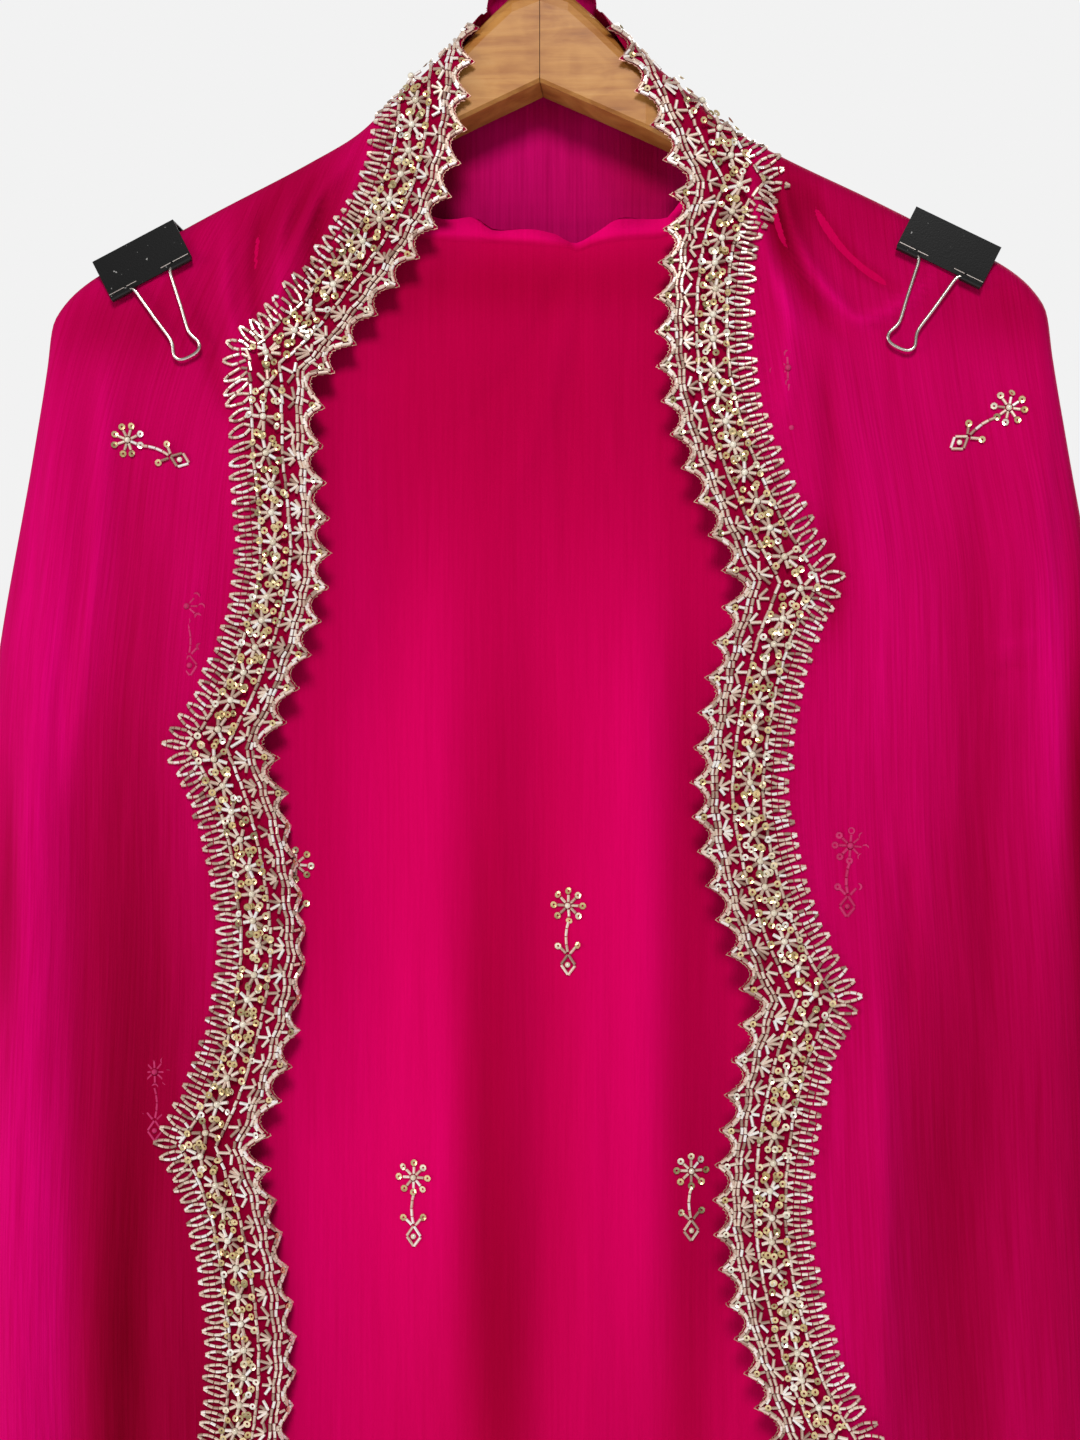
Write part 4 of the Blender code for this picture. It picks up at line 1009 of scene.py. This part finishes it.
class Flat:
    """Bead, sequin and pearl places in flat coordinates, collected before they are laid."""

    def __init__(self, seed):
        self.rods, self.discs, self.pearls = [], [], []
        self.chance = np.random.default_rng(seed)

    def rod(self, a, b, radius=0.00062, lift=0.0, sides=6, material=BEAD):
        self.rods.append((*a, *b, radius, lift, sides, material, self.chance.uniform(0, 1)))

    def disc(self, at, radius=0.0015, lift=0.0006):
        self.discs.append((*at, radius, lift, self.chance.uniform(0, 1)))

    def pearl(self, at, radius=0.0013, lift=0.0):
        self.pearls.append((*at, radius, lift, self.chance.uniform(0, 1)))

    def line(self, a, b, length=0.0029, gap=0.0004, radius=0.00062, lift=0.0, jitter=0.00018):
        """Beads end to end from a to b."""
        a, b = np.array(a, float), np.array(b, float)
        run = b - a
        total = np.linalg.norm(run)
        count = max(1, int(round(total / (length + gap))))
        run = run / count
        share = 1 - gap / (total / count)
        for k in range(count):
            wobble = self.chance.normal(0, jitter, 4)
            start = a + run * k
            self.rod(start + wobble[:2], start + run * share + wobble[2:], radius, lift)

    def lay(self, heap, place, sign, base_lift):
        for sides in (4, 6):
            chosen = np.array([r for r in self.rods if r[6] == sides], float).reshape(-1, 9)
            if len(chosen):
                a, b = place(chosen[:, 0], chosen[:, 1]), place(chosen[:, 2], chosen[:, 3])
                normal = surface_normal(place, (chosen[:, 0] + chosen[:, 2]) / 2,
                                        (chosen[:, 1] + chosen[:, 3]) / 2, sign)
                lift = normal * (chosen[:, 5:6] + base_lift)
                for kind in np.unique(chosen[:, 7]).astype(int):
                    m = chosen[:, 7] == kind
                    add_rods(heap, (a + lift)[m], (b + lift)[m], normal[m], chosen[m, 4], sides,
                             chosen[m, 8], kind)
        for laid, is_disc in ((self.discs, True), (self.pearls, False)):
            if not laid:
                continue
            u, v, radius, lift, tint = np.array(laid).T
            at, normal = place(u, v), surface_normal(place, u, v, sign)
            if is_disc:
                add_discs(heap, at, normal, radius, tint, lift + base_lift, self.chance)
            else:
                add_pearls(heap, at + normal * (lift + base_lift)[:, None], normal, radius, tint)


TOOTH_PITCH = 0.0146
TOOTH_DEPTH = 0.0064
SPRAY_PITCH = 0.0098
FLOWER_PITCH = 0.0114
LEAF_PITCH = 0.0053
LEAF_LENGTH = 0.0108
OUTER_LINE = 0.0304
BEAD_RADIUS = 0.00074
ROW_RADIUS = BEAD_RADIUS * 0.92
INNER_LINES = (0.0092, 0.011)
STRIP_REACH = 0.0094
# Painted shade on the toothed strip under the beads.
PAINTED_SHADE_UNDER_BEADS = 0.62
BORDER_LIFT = 0.0007
SPRIG_LIFT = 0.0005
UNDER_LIFT = -0.0007
SPRIG_RADIUS = 0.0006
SEQUIN_RADIUS = 0.0015
MIDDLE_LINE = 0.0178
FLOWER_LINE = 0.0242


def tooth(s):
    """Distance in of the toothed edge: pointed tips with round hollows between them."""
    phase = (np.asarray(s, float) / TOOTH_PITCH) % 1.0
    return TOOTH_DEPTH * np.sin(np.pi * phase) ** 0.85


def draw_flower(flat, centre, reach, lift, petals=8, sequin_share=0.85, turn=0.0):
    """A pearl in a ring of bead petals, most of them tipped with a sequin."""
    centre = np.array(centre)
    for k in range(petals):
        angle = turn + 2 * math.pi * k / petals + flat.chance.normal(0, 0.1)
        way = np.array([math.cos(angle), math.sin(angle)])
        inner = 0.24 + flat.chance.uniform(-0.03, 0.03)
        flat.rod(centre + way * reach * inner, centre + way * reach * (inner + 0.48), BEAD_RADIUS, lift)
        if flat.chance.uniform() < sequin_share:
            flat.disc(centre + way * reach * 0.95, 0.0014 + flat.chance.uniform(0, 0.0003),
                      lift + 0.0006 + flat.chance.uniform(0, 0.0008))
    flat.pearl(centre, 0.0015, lift)


def outer_slope(shape, foot, step=0.0075):
    """How fast the outer line moves out, per distance along the border."""
    share = OUTER_LINE / BORDER_WIDTH
    (near, near_width), (far, far_width) = shape(foot - step), shape(foot + step)
    return (far + far_width * share - near - near_width * share) / (2 * step)


def draw_leaf(flat, shape, foot, slope):
    """A narrow pointed loop of beads outside the outer line, square to that line."""
    chance = flat.chance
    length = LEAF_LENGTH * (1 + chance.normal(0, 0.05))
    way = np.array([-slope, 1.0]) / math.hypot(slope, 1.0)
    across = np.array([way[1], -way[0]])
    retreat, width = shape(foot)
    start = np.array([foot, retreat + width * (OUTER_LINE + 0.0007) / BORDER_WIDTH])
    bend = chance.normal(0, 0.0003)

    def flat_place(out, over):
        at = start + way * length * out + across * over
        near, wide = shape(at[0])
        return at[0], (at[1] - near) * BORDER_WIDTH / wide

    half = 0.0015 + chance.normal(0, 0.00015)
    for side in (-1, 1):
        outline = [np.array(flat_place(out, over)) for out, over in (
            (0.0, side * 0.0005), (0.27, side * half), (0.52, side * half + bend),
            (0.78, side * half * 0.66 + bend), (0.98, side * 0.0001 + bend))]
        for a, b in zip(outline[:-1], outline[1:]):
            flat.rod(a + (b - a) * 0.04, a + (b - a) * 0.9, BEAD_RADIUS * 0.86)


def draw_border(flat, start, end, shape):
    """The border from start to end along the edge, in distance along it and in from the teeth's tips."""
    chance = flat.chance
    first, last = int(math.ceil(start / TOOTH_PITCH)), int(end / TOOTH_PITCH)
    for k in range(first, last):
        left = k * TOOTH_PITCH
        for inset, count, reach in ((0.0012, 6, 0.03), (0.0031, 5, 0.1)):
            u = np.linspace(reach, 1 - reach, count + 1)
            s = left + u * TOOTH_PITCH
            t = tooth(s) * (1.0 if inset < 0.002 else 0.8) + inset
            for j in range(count):
                a, b = np.array([s[j], t[j]]), np.array([s[j + 1], t[j + 1]])
                jitter = chance.normal(0, 0.00014, 2)
                lift = 0.0001 + chance.uniform(0, 0.0003)
                flat.rod(a + jitter, a + (b - a) * 0.88 + jitter, ROW_RADIUS, lift)
        loops = 18
        u = np.linspace(0.0, 1.0, loops + 1)
        s = left + u * TOOTH_PITCH
        t = tooth(s) - 0.0002
        for j in range(loops):
            bulge = 0.0004 * (1 if j % 2 else -0.5) + chance.normal(0, 0.0002)
            flat.rod((s[j], t[j] - bulge), (s[j + 1], t[j + 1] + bulge * 0.6), 0.00021, -0.0002, 4, ZARI)
        flat.disc((left + chance.normal(0, 0.0004), 0.0052), 0.00145, 0.001)
        flat.rod((left, 0.0016), (left + chance.normal(0, 0.0003), 0.004), BEAD_RADIUS * 0.85, 0.0006)
        flat.rod((left, 0.0064), (left + chance.normal(0, 0.0004), 0.0088), BEAD_RADIUS * 0.85, 0.0004)
    wave = 0.0004
    for t_line in INNER_LINES:
        count = int((end - start) / 0.0032)
        at = np.linspace(start, end, count + 1)
        lift = wave * np.sin(at / TOOTH_PITCH * 6.283)
        for j in range(count):
            jitter = chance.normal(0, 0.0002, 2)
            flat.rod((at[j], t_line + lift[j] + jitter[0]),
                     (at[j] + (at[j + 1] - at[j]) * 0.87, t_line + lift[j + 1] + jitter[1]), ROW_RADIUS)
    for k in range(int((end - start) / SPRAY_PITCH)):
        foot = start + (k + 0.5) * SPRAY_PITCH + chance.normal(0, 0.0005)
        prongs = 3 + int(chance.integers(0, 3))
        turn = chance.normal(0, 0.18)
        for j in range(prongs):
            angle = turn - 1.05 + 2.1 * j / (prongs - 1)
            reach = 0.0046 + chance.uniform(-0.0007, 0.001)
            flat.rod((foot + math.sin(angle) * 0.0006, 0.0122 + math.cos(angle) * 0.0004),
                     (foot + math.sin(angle) * reach, 0.012 + math.cos(angle) * reach), BEAD_RADIUS * 0.9,
                     0.0001 * j)
    flat.line((start, MIDDLE_LINE), (end, MIDDLE_LINE), 0.0029, 0.0005, ROW_RADIUS)
    for k in range(int((end - start) / FLOWER_PITCH)):
        centre = (start + (k + 0.5) * FLOWER_PITCH + chance.normal(0, 0.0005),
                  FLOWER_LINE + chance.normal(0, 0.0006))
        draw_flower(flat, centre, 0.0062 + chance.normal(0, 0.0002), 0.0006 + 0.0007 * (k % 2),
                    petals=int(chance.integers(7, 9)), turn=chance.uniform(0, 0.8))
        for _ in range(2):
            beside = centre[0] + FLOWER_PITCH / 2 + chance.normal(0, 0.0012)
            flat.disc((beside, 0.024 + chance.normal(0, 0.0034)), 0.0014, 0.0008)
    flat.line((start, OUTER_LINE), (end, OUTER_LINE), 0.0029, 0.0005, ROW_RADIUS)
    foot = start + LEAF_PITCH / 2
    while foot < end - LEAF_PITCH / 2:
        slope, next_slope = outer_slope(shape, foot), outer_slope(shape, foot + 0.001)
        fan = max(0.0, (slope - next_slope) / 0.001) * LEAF_LENGTH * 0.55
        draw_leaf(flat, shape, foot, slope)
        foot = foot + LEAF_PITCH / (math.hypot(slope, 1.0) + fan)


def toothed_strip(side, name):
    """The toothed edge of the cloth under the beads."""
    end = lengths(side["edge"])[-1]
    s = np.linspace(0.0, end, int(end / (TOOTH_PITCH / 12)))
    outer = tooth(s)
    t = outer[:, None] + (STRIP_REACH - outer[:, None]) * np.array([-0.04, 0.3, 0.65, 1.0])[None, :]
    s_grid = np.broadcast_to(s[:, None], t.shape)
    points = on_border(side, s_grid, t)
    normals = facing(-1, points)
    points = points + normals * 0.0005
    plan = points_of(t, s_grid)
    # The strip is darkened as painted shade under the beads.
    return cloth_shell(name, points, normals, plan, THREAD, CHIFFON, PAINTED_SHADE_UNDER_BEADS)


def build_border(name, side, seed):
    flat = Flat(seed)
    end = lengths(side["edge"])[-1]
    draw_border(flat, 0.0, end - 0.004, lambda s: [float(v) for v in retreat_and_width(side, s)])
    heap = Heap()
    flat.lay(heap, lambda s, t: on_border(side, s, t), -side["sign"], BORDER_LIFT)
    beads = heap.build("border_beads_" + name, TRIM)
    strip = toothed_strip(side, "border_teeth_" + name)
    return beads, strip


def on_neck(x, t):
    z = COLLAR_TOP_Z - 0.0006 - t
    return back_surface(x, z, t, x)


def build_neck_border():
    flat = Flat(41)
    draw_border(flat, -0.0222, 0.0222, lambda s: (0.0, BORDER_WIDTH))
    heap = Heap()
    flat.lay(heap, on_neck, -1.0, BORDER_LIFT)
    return heap.build("border_beads_neck", TRIM)


def draw_sprig(flat, base, direction):
    """A flower on a bent stem with two sequin leaves over a bead rhombus. direction points to the flower."""
    base, d = np.array(base, float), np.array(direction, float)
    d = d / np.linalg.norm(d)
    n = np.array([-d[1], d[0]])

    def at(up, over):
        return base + d * up + n * over

    corners = [at(-0.0022, 0), at(0.0022, 0.0032), at(0.0068, 0), at(0.0022, -0.0032)]
    for a, b in zip(corners, corners[1:] + corners[:1]):
        middle = (a + b) / 2
        flat.rod(middle + (a - middle) * 0.88, middle + (b - middle) * 0.88, SPRIG_RADIUS)
    flat.pearl(at(0.0023, 0), 0.0012)
    stem = [at(0.0078, 0.0002), at(0.011, 0.0008), at(0.0145, 0.001), at(0.018, 0.0006), at(0.021, -0.0002)]
    for a, b in zip(stem[:-1], stem[1:]):
        flat.rod(a, a + (b - a) * 0.88, SPRIG_RADIUS)
    for way, up in ((1, 0.0094), (-1, 0.01)):
        flat.rod(at(0.0072, way * 0.001), at(up, way * 0.0033), SPRIG_RADIUS)
        flat.disc(at(up + 0.0008, way * 0.0044), SEQUIN_RADIUS)
    head = at(0.0276, 0)
    turn = math.atan2(d[1], d[0])
    for k in range(8):
        angle = turn + 2 * math.pi * k / 8 + flat.chance.normal(0, 0.05)
        way = np.array([math.cos(angle), math.sin(angle)])
        flat.rod(head + way * 0.0017, head + way * 0.0046, SPRIG_RADIUS)
        flat.disc(head + way * 0.0063, SEQUIN_RADIUS)
    flat.pearl(head, 0.00135)


def lay_front_sprigs(heap, places, seed, lift):
    for k, (side, base, direction) in enumerate(places):
        flat = Flat(seed + k)
        draw_sprig(flat, base, direction)
        flat.lay(heap, lambda w, z, side=side: front_surface(side, w, z, w, -z), side["sign"] * -1.0, lift)


def build_under_sprigs():
    """Sprigs on the layer beneath, faintly seen through the chiffon."""
    heap = Heap()
    places = ((LEFT, (0.149, -0.359), (0.05, 1.0)), (LEFT, (0.166, -0.559), (0.0, 1.0)),
              (RIGHT, (0.106, -0.26), (-0.05, 1.0)), (RIGHT, (0.129, -0.46), (0.05, 1.0)))
    lay_front_sprigs(heap, places, 120, UNDER_LIFT)
    return heap.build("sprigs_showing_through", [SHOWING_THROUGH] * len(TRIM))


def build_sprigs():
    heap = Heap()
    fronts = (
        (LEFT, (0.153, -0.269), (0.93, 0.36)), (LEFT, (0.164, -0.76), (1.0, 0.05)),
        (LEFT, (0.17, -1.0), (1.0, 0.02)), (LEFT, (0.205, -0.88), (1.0, 0.02)),
        (RIGHT, (0.1745, -0.265), (0.82, 0.57)), (RIGHT, (0.15, -0.78), (1.0, 0.04)),
        (RIGHT, (0.156, -1.02), (1.0, 0.02)), (RIGHT, (0.206, -0.9), (1.0, 0.02)),
    )
    lay_front_sprigs(heap, fronts, 60, SPRIG_LIFT)
    panel = Flat(80)
    for base in ((0.012, -0.487), (-0.0545, -0.604), (0.064, -0.6), (-0.106, -0.47), (0.129, -0.482)):
        draw_sprig(panel, base, (0.0, 1.0))
    panel.lay(heap, lambda x, z: points_of(x, panel_y(x, z), z), -1.0, 0.0003)
    back = Flat(90)
    for row in range(5):
        z = -0.165 - row * 0.119
        for k in range(-2, 3):
            x = (k + (0.5 if row % 2 else 0.0)) * 0.117
            if abs(x) < 0.2 + 0.03 * min(row, 1) and z - 0.03 > -0.66 and z < ridge_z(abs(x)) - 0.045:
                draw_sprig(back, (x, z), (0.0, -1.0))
    back.lay(heap, lambda x, z: back_surface(x, z, COLLAR_TOP_Z - z, x), 1.0, SPRIG_LIFT)
    return heap.build("sprigs", TRIM)


# ---------------------------------------------------------------------------------------------------------
# Hook, ferrule and binder clips

WIRE_RADIUS = 0.002
HOOK_BEND_RADIUS = 0.02
HOOK_TIP_ANGLE = 195
HOOK_LOWER_ANGLE = -55
FERRULE_HEIGHT = 0.005
BAR_TOP_Z = -0.064


def add_tube(name, points, radius, material, sides=12):
    """A round wire along points, with rounded ends."""
    points = np.array(points, float)
    run = unit(np.gradient(points, axis=0))
    side = np.array([0.0, 1.0, 0.0])
    if abs(run[0] @ side) > 0.9:
        side = np.array([0.0, 0.0, 1.0])
    rings, ends = [], []
    for p, d in zip(points, run):
        side = unit(side - d * (side @ d))
        other = np.cross(d, side)
        rings.append([p + radius * (math.cos(a) * side + math.sin(a) * other)
                      for a in np.linspace(0, 2 * math.pi, sides, endpoint=False)])
    for p, ring, d in ((points[0], rings[0], -run[0]), (points[-1], rings[-1], run[-1])):
        ends.append([p + (np.array(q) - p) * 0.7 + d * radius * 0.7 for q in ring])
    rings = np.array([ends[0]] + rings + [ends[1]])
    count = len(rings)
    index = np.arange(count * sides).reshape(count, sides)
    after = np.roll(index, -1, axis=1)
    quads = points_of(index[:-1], after[:-1], after[1:], index[1:]).reshape(-1, 4)
    caps = np.stack([index[0][::-1], index[-1]])
    piece = mesh_object(name, rings.reshape(-1, 3), [quads, caps])
    piece.data.materials.append(material)
    return piece


def build_hook():
    lower = math.radians(HOOK_LOWER_ANGLE)
    centre_z = -HOOK_BEND_RADIUS + WIRE_RADIUS
    points = [(HOOK_BEND_RADIUS * math.cos(a), centre_z + HOOK_BEND_RADIUS * math.sin(a))
              for a in np.radians(np.linspace(HOOK_TIP_ANGLE, HOOK_LOWER_ANGLE, 64))]
    end_x, end_z = points[-1]
    reverse = end_x / (1 - math.cos(lower))
    centre = (end_x + reverse * math.cos(lower), end_z + reverse * math.sin(lower))
    points += [(centre[0] + reverse * math.cos(a), centre[1] + reverse * math.sin(a))
               for a in np.linspace(math.pi + lower, math.pi, 18)[1:]]
    points.append((0.0, BAR_TOP_Z + GAP + FERRULE_HEIGHT + GAP))
    hook = add_tube("hook", [(x, 0.0, z) for x, z in points], WIRE_RADIUS, PLATE, 16)
    finish_piece(hook, "plated_wire", "hanger_hook")


def clip_frame(sign):
    low, high = ridge_z(CLIP_CENTRE + 0.01), ridge_z(CLIP_CENTRE - 0.01)
    slope = math.atan2(float(high - low), 0.02)
    turn = Matrix.Rotation(sign * slope, 4, "Y")
    return Matrix.Translation((sign * CLIP_CENTRE, 0.0, float(ridge_z(CLIP_CENTRE)))) @ turn


CLIP_LIP = -0.0145
CLIP_FRONT_Y = -0.0098
CLIP_BACK_Y = 0.0089
ROLL_OUTER = 0.0019
HANDLE_WIRE = 0.00075
LIP_HIGHLIGHTS = ((0.0118, 0.0192), (0.006, 0.0118 * 0.92))
LIP_HIGHLIGHT_RISE = 0.0012
LIP_HIGHLIGHT_RADIUS = 0.00022
HANDLE = np.array((
    (0.0165, 0.0), (0.0104, 0.0), (0.0094, 0.0003), (0.0088, 0.001), (0.0084, 0.0024), (0.006, 0.018),
    (0.0044, 0.0265), (0.0042, 0.029), (0.005, 0.0315), (0.0062, 0.034), (0.006, 0.0362), (0.0045, 0.0376),
    (0.002, 0.0382),
))


def build_clip_handle(name, sign, place, face_y, outward):
    half = [(w, -m) for w, m in HANDLE]
    line = np.array(half + [(-w, m) for w, m in half[::-1]])
    at = lengths(line)
    fine = np.linspace(0.0, at[-1], 120)
    points = np.stack([np.interp(fine, at, line[:, 0]), 0 * fine, np.interp(fine, at, line[:, 1])], axis=1)
    for _ in range(3):
        points[1:-1] = (points[:-2] + 2 * points[1:-1] + points[2:]) / 4
    turn = clip_frame(sign) @ Matrix.Translation((0.0, face_y + outward * ROLL_OUTER, CLIP_LIP))
    placed = [turn @ Vector(p) for p in points]
    handle = add_tube(f"wire_handle_{name}_{place}", placed, HANDLE_WIRE, PLATE, 10)
    cad = f"clip_{name}_handle_{place}"
    finish_piece(handle, "plated_wire", cad, body=cad)


def build_lip_highlights(name, sign):
    """Bright plated rods along the edges of the rolled lips, on each side of the handle's feet, front and
    back: painted highlights of the lips.
    """
    place = clip_frame(sign)
    rods = []
    for face_y, outward in ((CLIP_FRONT_Y, -1.0), (CLIP_BACK_Y, 1.0)):
        depth = face_y + outward * (ROLL_OUTER * 2 - 0.0002)
        normal = place.to_3x3() @ Vector((0.0, outward, 0.0))
        for way in (-1.0, 1.0):
            for near, far in LIP_HIGHLIGHTS:
                ends = [place @ Vector((way * w, depth, CLIP_LIP + LIP_HIGHLIGHT_RISE)) for w in (near, far)]
                rods.append((*ends, normal))
    starts, ends, normals = (np.array(column) for column in zip(*rods))
    heap = Heap()
    add_rods(heap, starts, ends, normals, LIP_HIGHLIGHT_RADIUS, 8, np.full(len(rods), 0.5))
    edges = heap.build(f"lip_highlights_{name}", [PLATE] * len(TRIM))
    finish_piece(edges, "plated_wire")


def use_cad_node(name, material):
    """Gives a CAD node, whose shape stays, its material."""
    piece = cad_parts[name]
    piece.data.materials.clear()
    piece.data.materials.append(material)


# ---------------------------------------------------------------------------------------------------------
# Putting it together

def finish_piece(piece, slot, *nodes, body=BODY):
    """Puts a piece on the body it rides on and hides the CAD nodes it stands for; slot, its finish, is not
    used.
    """
    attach(piece, body)
    if nodes:
        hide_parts(*nodes)


def build_stole():
    cloth = build_fronts_and_back()
    panel = build_panel()
    beads, strips = {}, {}
    for name, side, seed in (("left", LEFT, 11), ("right", RIGHT, 12)):
        beads[name], strips[name] = build_border(name, side, seed)
        finish_piece(beads[name], "beadwork", "border_" + name)
        finish_piece(strips[name], "chiffon")
        finish_piece(cloth["front_" + name], "chiffon", "front_" + name)
        finish_piece(cloth["return_" + name], "chiffon", "return_" + name)
    neck = build_neck_border()
    finish_piece(neck, "beadwork", "border_neck")
    finish_piece(build_sprigs(), "beadwork")
    finish_piece(build_under_sprigs(), "beadwork")
    finish_piece(cloth["back"], "chiffon", "back_stretch")
    finish_piece(panel, "chiffon_inside", "inner_panel")


def build_hanger_and_clips():
    build_hook()
    use_cad_node("hanger_ferrule", PLATE)
    for name, sign in (("left", -1.0), ("right", 1.0)):
        use_cad_node("hanger_arm_" + name, WOOD)
        use_cad_node("clip_" + name + "_body", PAINT)
        build_lip_highlights(name, sign)
        for place, face_y, outward in (("front", CLIP_FRONT_Y, -1.0), ("back", CLIP_BACK_Y, 1.0)):
            build_clip_handle(name, sign, place, face_y, outward)


def add_area_light(name, at, target, size, power):
    light = bpy.data.lights.new(name, "AREA")
    light.energy = power
    light.size = size
    lamp = bpy.data.objects.new(name, light)
    bpy.context.scene.collection.objects.link(lamp)
    lamp.location = at
    lamp.rotation_euler = (Vector(target) - Vector(at)).to_track_quat("-Z", "Y").to_euler()


FLOOR_BELOW_HEM = 0.12
FLOOR_GLOW = 0.3
WORLD_LIGHT = 0.22
WORLD_SHOWN = 0.888
LENS = 50.6
SENSOR = 36.0
CAMERA_AT = (0.06, -0.87, -0.38)
CAMERA_AIM = (0.0, -0.01, -0.38)
# Name, place, what it points at, size and power of each light.
LIGHTS = (
    ("key", (0.08, -2.0, 1.05), (0, 0, -0.42), 0.6, 41),
    ("side", (-1.9, -0.95, -0.3), (0, 0, -0.45), 0.8, 12),
    ("behind", (0.9, 1.9, 0.7), (0, 0, -0.4), 1.4, 26),
)


def build_stage():
    """A pale floor, soft light from the front, and the camera."""
    floor_z = HEM_Z - FLOOR_BELOW_HEM
    corners = [(x, y, floor_z) for x, y in ((-6, -6), (6, -6), (6, 6), (-6, 6))]
    floor = mesh_object("floor", np.array(corners), [np.array([[0, 1, 2, 3]])])
    material, _, shader = new_material("pale_floor")
    put(shader, {"Base Color": (0.86, 0.86, 0.86, 1), "Roughness": 0.9, "Emission Color": (1, 1, 1, 1),
                 "Emission Strength": FLOOR_GLOW})
    floor.data.materials.append(material)
    world = bpy.data.worlds.new("studio")
    bpy.context.scene.world = world
    world.use_nodes = True
    nodes = world.node_tree.nodes
    seen = node(nodes, "LightPath").outputs["Is Camera Ray"]
    strength = node(nodes, "Mix", A=WORLD_LIGHT, B=WORLD_SHOWN, Factor=seen).outputs["Result"]
    put(nodes["Background"], {"Color": (1, 1, 1, 1), "Strength": strength})
    for light in LIGHTS:
        add_area_light(*light)
    camera = bpy.data.objects.new("camera", bpy.data.cameras.new("camera"))
    bpy.context.scene.collection.objects.link(camera)
    camera.data.lens = LENS
    camera.data.sensor_width = SENSOR
    camera.location = CAMERA_AT
    camera.rotation_euler = (Vector(CAMERA_AIM) - camera.location).to_track_quat("-Z", "Y").to_euler()
    bpy.context.scene.camera = camera
    bpy.context.scene.view_settings.view_transform = "Standard"


build_stole()
build_hanger_and_clips()
build_stage()
